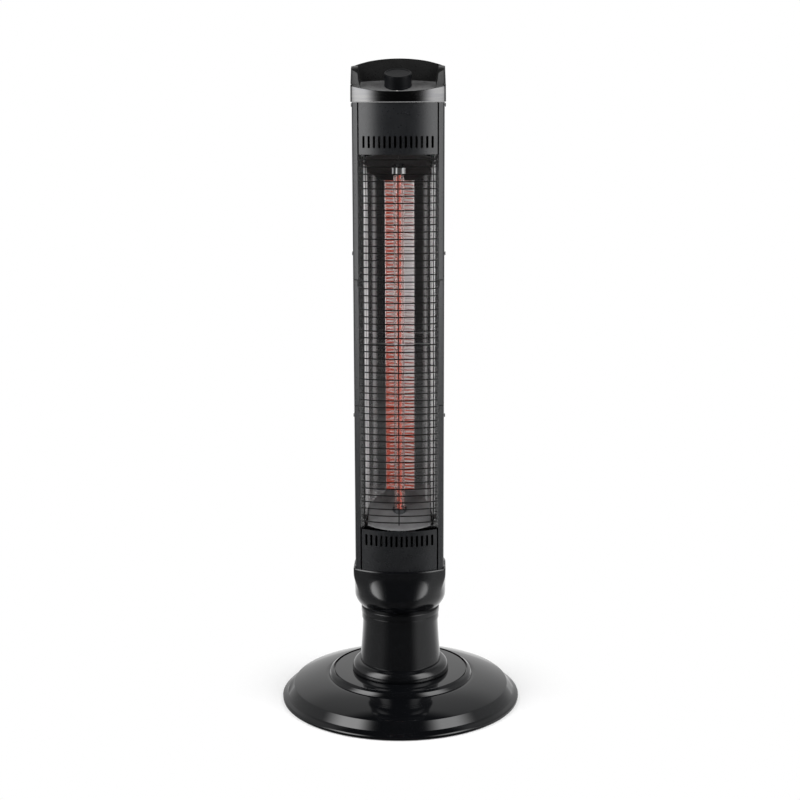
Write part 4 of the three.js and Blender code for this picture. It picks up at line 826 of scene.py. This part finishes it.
def collar():
    """The cup under the tower: a bead around the column, a bowl, and a straight rim."""
    ledge = TOWER_BOTTOM - SEAT_GAP - COLLAR_WALL
    neck_top = COLLAR_BOTTOM + 10
    loop = section(COLLAR_LAP)

    def round_ring(radius):
        return [p / math.hypot(p.x, p.y) * radius for p in loop]

    def bowl(p, half_width, half_depth, power):
        return p / (abs(p.x / half_width) ** power + abs(p.y / half_depth) ** power) ** (1 / power)

    def wall(z, inset):
        """Below the belly the bowl draws in to the neck, above it spreads to the tower's own section."""
        ring = []
        for p in section(COLLAR_LAP - inset):
            corner = (2 * p.x * p.y / p.length_squared) ** 2
            belly_z = COLLAR_BELLY_Z + COLLAR_CORNER_LIFT * corner
            drawn = max(0, min((belly_z - z) / (belly_z - neck_top), 1))
            power = blend(COLLAR_BELLY_POWER, 2, drawn)
            width = blend(COLLAR_BELLY_WIDTH, COLLAR_NECK_RADIUS, drawn ** 2)
            depth = blend(COLLAR_BELLY_DEPTH, COLLAR_NECK_RADIUS, drawn ** 2)
            belly = bowl(p, width - inset, depth - inset, power)
            rise = max(0, (z - belly_z) / (ledge - belly_z))
            smooth = rise * rise * (3 - 2 * rise)
            swell = 1 - (1 - rise) ** 2
            across = blend(belly.x, p.x, blend(swell, smooth, min(1.2 * corner, 1)))
            along = blend(belly.y, p.y, smooth)
            ring.append((across, along, z))
        return ring

    bead = [
        level(round_ring(BEAD_RADIUS + inset), COLLAR_BOTTOM + up)
        for inset, up in ((-0.5, 8.2), (-0.1, 8), (0, 7.6), (0, 0.5), (-0.2, 0.1), (-0.6, 0))
    ]
    heights = [ledge - (ledge - neck_top) * k / 26 for k in range(27)]
    # From the rim down the outside, under the bead, up through the bore, and up the inside from its floor.
    above_floor = heights[:18]
    rings = [
        level(section(COLLAR_LAP - 1.0), COLLAR_TOP),
        level(section(COLLAR_LAP - 0.4), COLLAR_TOP - 0.15),
        level(section(COLLAR_LAP), COLLAR_TOP - 0.8),
        level(section(COLLAR_LAP), COLLAR_TOP - 3),
        *[wall(z, 0) for z in heights],
        level(round_ring(COLLAR_NECK_RADIUS), COLLAR_BOTTOM + 8.4),
        *bead,
        level(round_ring(COLUMN_TOP_RADIUS + 0.6), COLLAR_BOTTOM),
        level(round_ring(COLUMN_TOP_RADIUS + 0.6), COLUMN_TOP + SEAT_GAP),
        level(round_ring(NECK_BORE), COLUMN_TOP + SEAT_GAP),
        level(round_ring(NECK_BORE), COLUMN_TOP + 2.7),
        level(round_ring(COLLAR_FLOOR_RADIUS), COLUMN_TOP + 2.7),
        *[wall(z, COLLAR_WALL) for z in reversed(above_floor)],
        level(section(-6), ledge),
        level(section(-6), ledge + COLLAR_WALL),
        level(section(SEAT_GAP), ledge + COLLAR_WALL),
        level(section(SEAT_GAP), COLLAR_TOP),
    ]
    stand_in(lofted("fine_collar", rings, sharp=70), "collar")


# ---- Housing ----
def slot_cutter(x, z, width, height, near=TOWER_FRONT_Y - 8, reach=33):
    """A round-ended slot that runs along Y."""
    turn = min(width, height) * 0.42
    sides = ((-1, -1), (1, -1), (1, 1), (-1, 1))
    outline = filleted([(x + across * width / 2, z + up * height / 2, turn) for across, up in sides], 4)
    rings = [[(p.x, y, p.y) for p in outline] for y in (near, near + reach)]
    return lofted("cutter", rings, closed=False)


def joined(objects):
    """Adds the other objects' meshes to the first, and removes them."""
    shape = bmesh.new()
    for obj in objects:
        shape.from_mesh(obj.data)
    first = objects[0]
    shape.to_mesh(first.data)
    shape.free()
    for obj in objects[1:]:
        bpy.data.objects.remove(obj)
    return first


def front_panel(node, low, high, vent_z):
    """A bowed sheet, bent back at both sides, with a row of upright vents."""
    edge = PANEL_HALF_WIDTH - PANEL_SHEET / 2
    middle = -PANEL_RECESS - PANEL_SHEET / 2
    back = front_y(edge, middle) + PANEL_RETURN
    bends = [Vector((-edge, back)), *front_arc(-edge, edge, middle, 48), Vector((edge, back))]
    panel = prism(f"fine_{node}", thick_line(bends, PANEL_SHEET), low, high)
    vents = [
        slot_cutter((i - (VENT_COUNT - 1) / 2) * VENT_PITCH, vent_z, VENT_WIDTH, VENT_HEIGHT)
        for i in range(VENT_COUNT)
    ]
    carve(panel, [joined(vents)])
    soften(panel, 0.35)
    follow_section(panel)
    stand_in(panel, node)


def side_frame(node, side):
    """A strip along the tower's front corner, with small angled slots at its inner edge."""
    width = TOWER_HALF_WIDTH
    half = half_section(0)
    outer = [p for p in half if p.x >= FRAME_INNER_X and p.y < FRAME_REAR_Y]
    outer.insert(0, Vector((FRAME_INNER_X, front_y(FRAME_INNER_X))))
    outer.append(Vector((width, FRAME_REAR_Y)))
    inner_x = width - FRAME_SHEET
    inner = [
        Vector((inner_x, FRAME_REAR_Y)),
        Vector((inner_x, front_y(inner_x, -FRAME_SHEET))),
        *reversed(front_arc(FRAME_INNER_X, inner_x - 2, -FRAME_SHEET, 4)),
    ]
    outline = [Vector((side * p.x, p.y)) for p in outer + inner]
    strip = prism(f"fine_{node}", outline, TOWER_BOTTOM, TOWER_TOP - SEAT_GAP)
    near, far = TOWER_FRONT_Y - 2, FRAME_REAR_Y - 15
    cutters = []
    for z in SLOT_HEIGHTS:
        for reach, drop in ((6.3, 1.2), (1.2, 10)):
            low, high = sorted((side * (FRAME_INNER_X - 1), side * (FRAME_INNER_X + reach)))
            box = [(low, near), (high, near), (high, far), (low, far)]
            cutters.append(prism("cutter", box, z - drop, z))
    carve(strip, cutters)
    soften(strip, 0.3)
    follow_section(strip)
    stand_in(strip, node)


def rear_housing():
    """The sheet that wraps the sides and the back, in one piece, with its louvre slots."""
    middle = -HOUSING_INSET
    half = [p for p in half_section(middle, 2) if p.y > FRAME_REAR_Y]
    half.insert(0, Vector((TOWER_HALF_WIDTH + middle, FRAME_REAR_Y + SEAT_GAP)))
    line = thinned(half + mirrored(half[:-1]))
    shell = prism("fine_rear_housing", thick_line(line, HOUSING_SHEET), TOWER_BOTTOM, TOWER_TOP - SEAT_GAP)
    slots = []
    for z in REAR_VENT_HEIGHTS:
        for row in range(REAR_VENT_ROWS):
            for x in (-REAR_VENT_X, REAR_VENT_X):
                up = z + (row - (REAR_VENT_ROWS - 1) / 2) * REAR_VENT_PITCH
                slots.append(slot_cutter(x, up, REAR_VENT_WIDTH, REAR_VENT_HEIGHT, TOWER_BACK_Y - 25))
    carve(shell, [joined(slots)])
    baffles = []
    deep = half_section(middle - 5, 2)
    for z in REAR_VENT_HEIGHTS:
        for side in (-1, 1):
            span = [Vector((side * p.x, p.y)) for p in deep if p.y > 0 and 2 < p.x < 2 * REAR_VENT_X]
            reach = REAR_VENT_PITCH * REAR_VENT_ROWS / 2 + 3
            baffles.append(prism("baffle", thick_line(span, 0.8), z - reach, z + reach))
    joined([shell, *baffles])
    follow_section(shell)
    stand_in(shell, "rear_housing_lower", "rear_housing_middle", "rear_housing_upper")


# ---- Reflector, tube and guard ----
def guard():
    """Bowed cross wires, welded to three uprights behind them."""
    radius = (GUARD_HALF_WIDTH ** 2 + GUARD_BOW ** 2) / (2 * GUARD_BOW)

    def depth(x):
        return GUARD_FRONT_Y + radius - math.sqrt(radius ** 2 - x ** 2)

    curve = bpy.data.curves.new("fine_guard", "CURVE")
    curve.dimensions = "3D"
    curve.bevel_depth = WIRE_RADIUS * MM
    curve.bevel_resolution = 3
    curve.use_fill_caps = True

    def wire(points):
        line = curve.splines.new("POLY")
        line.points.add(len(points) - 1)
        for target, point in zip(line.points, points):
            target.co = (*(Vector(point) * MM), 1)

    bottom = WIRE_TOP_Z - (WIRE_COUNT - 1) * WIRE_PITCH
    for i in range(WIRE_COUNT):
        z = bottom + i * WIRE_PITCH
        xs = [GUARD_HALF_WIDTH * (k / 16 - 1) for k in range(33)]
        wire([(x, depth(x), z) for x in xs])
    for x in (-GUARD_UPRIGHT_X, 0, GUARD_UPRIGHT_X):
        y = depth(x) + 1.7 * WIRE_RADIUS
        wire([(x, y, bottom - 4), (x, y, WIRE_TOP_Z + 4)])
    stand_in(placed("fine_guard", curve), "guard")


def reflector():
    """Bent sheet: flanges, flanks and a back that is gently dished towards the tube."""
    corners = [
        (57, -36.5, 0),
        (50.4, -36.5, 1),
        (44.8, -8, 3),
        (34.2, 5, 2),
        (REFLECTOR_BEND_X, REFLECTOR_BEND_Y, 2),
        (8, REFLECTOR_BEND_Y + REFLECTOR_DISH, 0),
    ]
    half = thinned(filleted(corners, 8)[:-1])
    dish = []
    for k in range(8, -9, -1):
        x = 17 * k / 8
        dish.append(Vector((x, REFLECTOR_BEND_Y + REFLECTOR_DISH * (1 - (x / REFLECTOR_BEND_X) ** 2))))
    line = half + dish + mirrored(half)
    shell = prism("fine_reflector", thick_line(line, 0.8), REFLECTOR_LOW, REFLECTOR_HIGH, sharp=12)
    stand_in(shell, "reflector")


def on_lamp(obj):
    """Moves a piece that was made about the Z axis onto the lamp's axis."""
    obj.data.transform(Matrix.Translation((0, LAMP_Y * MM, 0)))
    return obj


def tube():
    outline = filleted([
        (TUBE_RADIUS - TUBE_WALL, TUBE_LOW, 0),
        (TUBE_RADIUS, TUBE_LOW, 0.6),
        (TUBE_RADIUS, TUBE_HIGH, 0.6),
        (TUBE_RADIUS - TUBE_WALL, TUBE_HIGH, 0),
    ])
    stand_in(on_lamp(turned("fine_quartz_tube", outline, 48)), "quartz_tube")


def element():
    """The glowing carbon: a narrow ribbon wound in a long helix."""
    inner, outer = HELIX_RADIUS - RIBBON_HALF_SHEET, HELIX_RADIUS + RIBBON_HALF_SHEET
    half = RIBBON_HALF_WIDTH
    steps = HELIX_TURNS * 16
    rings = []
    for k in range(steps + 1):
        angle = 2 * math.pi * HELIX_TURNS * k / steps
        z = HELIX_LOW + half + (HELIX_HIGH - HELIX_LOW - 2 * half) * k / steps
        out = Vector((math.cos(angle), math.sin(angle)))
        edges = ((inner, -half), (outer, -half), (outer, half), (inner, half))
        rings.append([(out.x * reach, out.y * reach + LAMP_Y, z + up) for reach, up in edges])
    stand_in(lofted("fine_carbon_element", rings, closed=False), "carbon_element")


def lamp_cap():
    """The upper ceramic cap: a ribbed ring around the tube's end, a taper, and a flange over the plate."""
    rings = []
    for radius, rib, z in (
        (5, 0, 774), (8.3, 1.0, 774), (8.3, 1.0, 785), (7, 0, 785.6), (6.2, 0, 787), (3.4, 0, 798),
        (3.4, 0, 804.3), (12.3, 0, 804.3), (12.3, 0, 806.5), (2.4, 0, 806.5), (2.4, 0, 790), (5, 0, 776),
    ):
        ring = []
        for k in range(72):
            turn = 2 * math.pi * k / 72
            reach = radius + rib * (1 if k % 12 < 6 else -1)
            ring.append((reach * math.sin(turn), reach * math.cos(turn) + LAMP_Y, z))
        rings.append(ring)
    stand_in(lofted("fine_lamp_cap_upper", rings), "lamp_cap_upper")
    cup = filleted([
        (2.4, 265.8, 0), (12.3, 265.8, 0.4), (12.3, 268, 0.3), (9.2, 268, 0), (9.2, 293, 0.7),
        (7.9, 293, 0.3), (7.9, 279, 0), (2.4, 279, 0),
    ])
    stand_in(on_lamp(turned("fine_lamp_cap_lower", cup, 48)), "lamp_cap_lower")


# ---- Cap, band and knob ----
def cap_band():
    """The bright band under the cap, whose edge follows the sloping deck."""
    def ring(grow, height):
        return [(p.x, p.y, height(p)) for p in section(grow)]

    def top(p, inset=0.0):
        return min(deck_z(p.y) + 0.4, BAND_SIDE_TOP) - inset

    rings = [
        ring(BAND_LAP - 0.4, lambda p: TOWER_TOP),
        ring(BAND_LAP, lambda p: TOWER_TOP + 0.4),
        ring(BAND_LAP - 0.2, lambda p: top(p, 0.6)),
        ring(BAND_LAP - 0.6, lambda p: top(p)),
        ring(0.2, lambda p: top(p)),
        ring(0.2, lambda p: TOWER_TOP),
    ]
    stand_in(lofted("fine_cap_band", rings), "cap_band")


def hull(name, points):
    """The convex solid around some points."""
    shape = bmesh.new()
    for point in points:
        shape.verts.new(Vector(point) * MM)
    made = bmesh.ops.convex_hull(shape, input=shape.verts)
    loose = [v for v in made["geom_interior"] + made["geom_unused"] if isinstance(v, bmesh.types.BMVert)]
    bmesh.ops.delete(shape, geom=list(set(loose)), context="VERTS")
    mesh = bpy.data.meshes.new(name)
    shape.to_mesh(mesh)
    shape.free()
    obj = placed(name, mesh)
    tidy_normals(obj)
    return obj


def arch_z(x, y):
    """The height of the cap's arched top."""
    rise = CAP_TOP - CAP_CORNER[2]
    radius = (CAP_CORNER[0] ** 2 + rise ** 2) / (2 * rise)
    return CAP_TOP - (radius - math.sqrt(radius ** 2 - x ** 2)) - max(y, 0) * math.tan(CAP_FALL)


def scoop():
    """The hollow over the deck, with a bowed back wall between two cheeks."""
    up = 45
    lean = (CAP_CORNER[1] - DECK_BACK_Y) / (CAP_CORNER[2] - deck_z(DECK_BACK_Y))
    foot = SCOOP_HALF_WIDTH - 4
    points = []
    for k in range(-12, 13):
        y = DECK_BACK_Y - 6 * (k / 12) ** 2
        points.append((foot * k / 12, y, deck_z(y)))
        over = SCOOP_HALF_WIDTH * k / 12
        y = CAP_CORNER[1] + 4 * (1 - (k / 12) ** 2)
        points.append((over, y, CAP_CORNER[2]))
        points.append((over * 1.05, y + up * lean, CAP_CORNER[2] + up))
    for side in (-1, 1):
        points.append((side * foot, CLEAR_FRONT_Y, deck_z(CLEAR_FRONT_Y)))
        points.append((side * SCOOP_HALF_WIDTH, CLEAR_FRONT_Y, CAP_CORNER[2]))
        points.append((side * SCOOP_HALF_WIDTH * 1.05, CLEAR_FRONT_Y, CAP_CORNER[2] + up))
    return hull("cutter", points)


def cheek_cutter():
    """Rounds the fronts of the cap's side walls back to its top corners."""
    front = front_y(TOWER_HALF_WIDTH) - BAND_LAP
    foot = BAND_SIDE_TOP + 0.3
    profile = [
        (front - 8, foot), (front - 7, 908), (front - 4, 913.5), (front + 2, 918.5), (front + 12, 922),
        (CAP_CORNER[1], CAP_CORNER[2]), (CAP_CORNER[1], CLEAR_TOP_Z), (CLEAR_FRONT_Y, CLEAR_TOP_Z),
        (CLEAR_FRONT_Y, foot),
    ]
    return lofted("cutter", [[(x, y, z) for y, z in profile] for x in (-90, 90)], closed=False)


def top_cap():
    """A solid cap over the tower, cut by its arched top, its rounded cheeks and the hollow over the deck."""
    inner = BAND_LAP - 1.6 - SEAT_GAP
    body = lofted("fine_top_cap", [
        level(section(inner), TOWER_TOP),
        level(section(inner), BAND_SIDE_TOP + SEAT_GAP),
        level(section(BAND_LAP - 0.4), BAND_SIDE_TOP + SEAT_GAP),
        level(section(BAND_LAP - 2.4), CAP_TOP + 10),
    ], closed=False)
    arch = []
    for y in (-90, 0, 90):
        over = [(x, y, arch_z(x, y)) for x in range(-80, 81, 4)]
        arch.append([*over, (80, y, CLEAR_TOP_Z), (-80, y, CLEAR_TOP_Z)])
    above = lofted("cutter", arch, closed=False)
    carve(body, [scoop(), cheek_cutter(), above])
    soften(body, 0.9, 3, 30)
    stand_in(body, "top_cap")


def on_deck(obj, x, y):
    """Moves a piece that was made about the Z axis onto a point of the deck, square to it."""
    place = Matrix.Translation(Vector((x, y, deck_z(y))) * MM) @ Matrix.Rotation(DECK_TILT, 4, "X")
    obj.data.transform(place)
    return obj


def knob():
    low, top = 0.6, 18.6
    corners = [
        (0, top - 0.5, 0),
        (KNOB_RADIUS - 3.2, top - 0.5, 0.8),
        (KNOB_RADIUS - 2.2, top, 0.8),
        (KNOB_RADIUS - 0.2, top - 0.2, 1.2),
        (KNOB_RADIUS - 0.5, low + 2.2, 0.3),
        (KNOB_RADIUS, low + 1.8, 0.5),
        (KNOB_RADIUS, low, 0.3),
        (KNOB_RADIUS - 2, low, 0),
        (KNOB_RADIUS - 2, low + 8, 0),
        (0, low + 8, 0),
    ]
    dial = on_deck(turned("fine_selector_knob", filleted(corners, 4), 96), 0, KNOB_Y)
    stand_in(dial, "selector_knob", body="knob")


def deck_mark():
    """The pale pip on the deck that the knob is read against."""
    outline = [(0, -0.4), (0.95, -0.4), (0.9, 0.15), (0.6, 0.35), (0, 0.4)]
    pip = on_deck(turned("deck_mark", outline, 24), -0.8, DECK_FRONT_Y + 0.9)
    dress(pip, "ceramic")
    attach(pip, "tower")


base_cover()
column()
collar()
front_panel("front_panel_upper", WINDOW_HIGH, TOWER_TOP - SEAT_GAP, UPPER_VENT_Z)
front_panel("front_panel_lower", TOWER_BOTTOM, WINDOW_LOW, LOWER_VENT_Z)
side_frame("side_frame_left", -1)
side_frame("side_frame_right", 1)
rear_housing()
reflector()
tube()
element()
lamp_cap()
guard()
cap_band()
top_cap()
knob()
deck_mark()


# ---- Studio: camera and lamps in metres and degrees, dome and floor in millimetres ----
PICTURE_WIDTH = 800
FOCAL_PIXELS = 1536.7
CAMERA_DISTANCE = 2.1846
CAMERA_HEIGHT = 0.8749
CAMERA_PITCH = 11.004
CAMERA_AZIMUTH = 1.5
CAMERA_SIDE_AIM = 0.011
CAMERA_ROLL = -0.17

AMBIENT = 0.12
SOFTBOX_PLACE = (1.93, -0.70, 1.54)
SOFTBOX_AIM = (0, 0, 0.5)
SOFTBOX_SIZE = (2.4, 2.6)
SOFTBOX_POWER = 90
DOME_RADIUS = 2900
DOME_CENTRE = 450
BOX_LIGHT = 5.0
FLOOR_REACH = 9000
FLOOR_FADE = (0.12, 0.27)
FLOOR_LEFT = 0.24
FLOOR_RIGHT = 0.6


def world():
    """A white background, and a weak even light from all around."""
    made = bpy.data.worlds.new("studio")
    bpy.context.scene.world = made
    tree = Nodes(made)
    ambient = tree.white("ShaderNodeBackground", AMBIENT)
    seen = tree.white("ShaderNodeBackground", 1.0)
    output = tree.node("ShaderNodeOutputWorld")
    tree.put(tree.mix(tree.shown_ray(), ambient, seen), output.inputs[0])


def floor():
    """White ground: lit where it takes the object's shadow, and plain white further off."""
    corners = [(x * FLOOR_REACH, y * FLOOR_REACH, 0) for x, y in ((-1, -1), (1, -1), (1, 1), (-1, 1))]
    plane = mesh_object("floor", corners, [(0, 1, 2, 3)])
    look = Look("floor")
    look.set(
        Base_Color=look.ramp(look.noise(2), (0.88, 0.88, 0.88), (0.9, 0.9, 0.9)),
        Roughness=0.9,
        Specular_IOR_Level=0.1,
    )
    x, y, _ = look.place()
    far = look.ramp(look.radius(x, y), 0.0, 1.0, *FLOOR_FADE)
    share = look.math("MULTIPLY", far, look.shown_ray())
    white = look.white("ShaderNodeEmission", 1.0)
    look.put(look.mix(share, look.shader.outputs[0], white), look.output.inputs[0])
    plane.data.materials.append(look.material)


def softbox(name, side):
    lamp = bpy.data.lights.new(name, "AREA")
    lamp.shape = "RECTANGLE"
    lamp.size, lamp.size_y = SOFTBOX_SIZE
    lamp.energy = SOFTBOX_POWER
    obj = placed(name, lamp)
    x, y, z = SOFTBOX_PLACE
    obj.location = (side * x, y, z)
    obj.rotation_euler = (Vector(SOFTBOX_AIM) - obj.location).to_track_quat("-Z", "Y").to_euler()
    obj.visible_glossy = False


class Glow(Look):
    """The strength of light over a card, worked out from where on it a point lies."""

    def __init__(self, name):
        super().__init__(name)
        self.x, y, self.z = self.place()
        self.back = self.math("DIVIDE", y, self.math("MAXIMUM", self.radius(self.x, y), 0.001))

    def facing(self, start, end, low=0.0, high=1.0):
        """A rise over azimuths, in degrees from the front."""
        ends = [-math.cos(math.radians(azimuth)) for azimuth in (start, end)]
        return self.rise(self.back, *ends, low, high)

    def finish(self, rings, total):
        """Puts the light on a card through rings of points, which only reflections see."""
        card = mesh_object(self.material.name, *skin(rings))
        self.put(self.white("ShaderNodeEmission", total), self.output.inputs[0])
        card.data.materials.append(self.material)
        card.visible_camera = False
        card.visible_diffuse = False
        card.visible_shadow = False
        card.visible_transmission = False


def circle(radius, z, count=64):
    turns = [2 * math.pi * i / count for i in range(count)]
    return [(radius * math.sin(turn), radius * math.cos(turn), z) for turn in turns]


def sine(elevation):
    return math.sin(math.radians(elevation))


def studio_dome():
    """What the polished surfaces mirror: dark behind the camera, soft light at both sides, white behind."""
    rings = []
    for j in range(25):
        rise = math.radians(-12 + 102 * j / 24)
        rings.append(circle(DOME_RADIUS * math.cos(rise), DOME_CENTRE + DOME_RADIUS * math.sin(rise)))
    glow = Glow("studio_dome")
    height = glow.math("DIVIDE", glow.math("SUBTRACT", glow.z, DOME_CENTRE * MM), DOME_RADIUS * MM)
    room = glow.patch(
        0.8,
        glow.facing(30, 44),
        glow.rise(height, sine(50), sine(60), 1, 0),
        glow.rise(height, sine(22), sine(38), 1, 0.68),
        glow.facing(125, 168, 0.6, 1),
    )
    inner = glow.facing(18, 52)
    box = glow.patch(
        BOX_LIGHT,
        inner,
        inner,
        glow.facing(64, 90, 1, 0),
        glow.rise(height, sine(42), sine(54), 1, 0),
        glow.rise(height, sine(8), sine(40), 1, 1.15),
        glow.rise(glow.x, -0.3, 0.3, 0.97, 0.76),
    )
    glow.finish(rings, glow.math("ADD", glow.math("ADD", room, box), 0.02))


def floor_card():
    """The ground as the polished surfaces mirror it: dim around the base, white further off."""
    glow = Glow("floor_card")
    near = glow.rise(glow.x, -0.1, 0.1, FLOOR_LEFT, FLOOR_RIGHT)
    behind = glow.patch(0.7, glow.facing(110, 148), glow.rise(glow.x, -0.1, 0.1, 1, 0.6))
    total = glow.patch(glow.facing(25, 55), glow.math("ADD", near, behind))
    glow.finish([circle(BASE_RADIUS + 0.6, 1), circle(DOME_RADIUS, 1)], glow.math("ADD", total, 0.07))


def camera():
    """Stands a little to the right of the front, and looks down at the tower."""
    data = bpy.data.cameras.new("camera")
    data.sensor_width = 36
    data.lens = FOCAL_PIXELS * data.sensor_width / PICTURE_WIDTH
    obj = placed("camera", data)
    turn = math.radians(CAMERA_AZIMUTH)
    obj.location = (CAMERA_DISTANCE * math.sin(turn), -CAMERA_DISTANCE * math.cos(turn), CAMERA_HEIGHT)
    aim = Matrix.Rotation(turn - math.radians(CAMERA_SIDE_AIM), 3, "Z")
    aim = aim @ Matrix.Rotation(math.radians(90 - CAMERA_PITCH), 3, "X")
    aim = aim @ Matrix.Rotation(math.radians(CAMERA_ROLL), 3, "Z")
    obj.rotation_euler = aim.to_euler()
    bpy.context.scene.camera = obj


world()
floor()
softbox("softbox_left", -1)
softbox("softbox_right", 1)
studio_dome()
floor_card()
camera()
bpy.context.scene.view_settings.view_transform = "Standard"
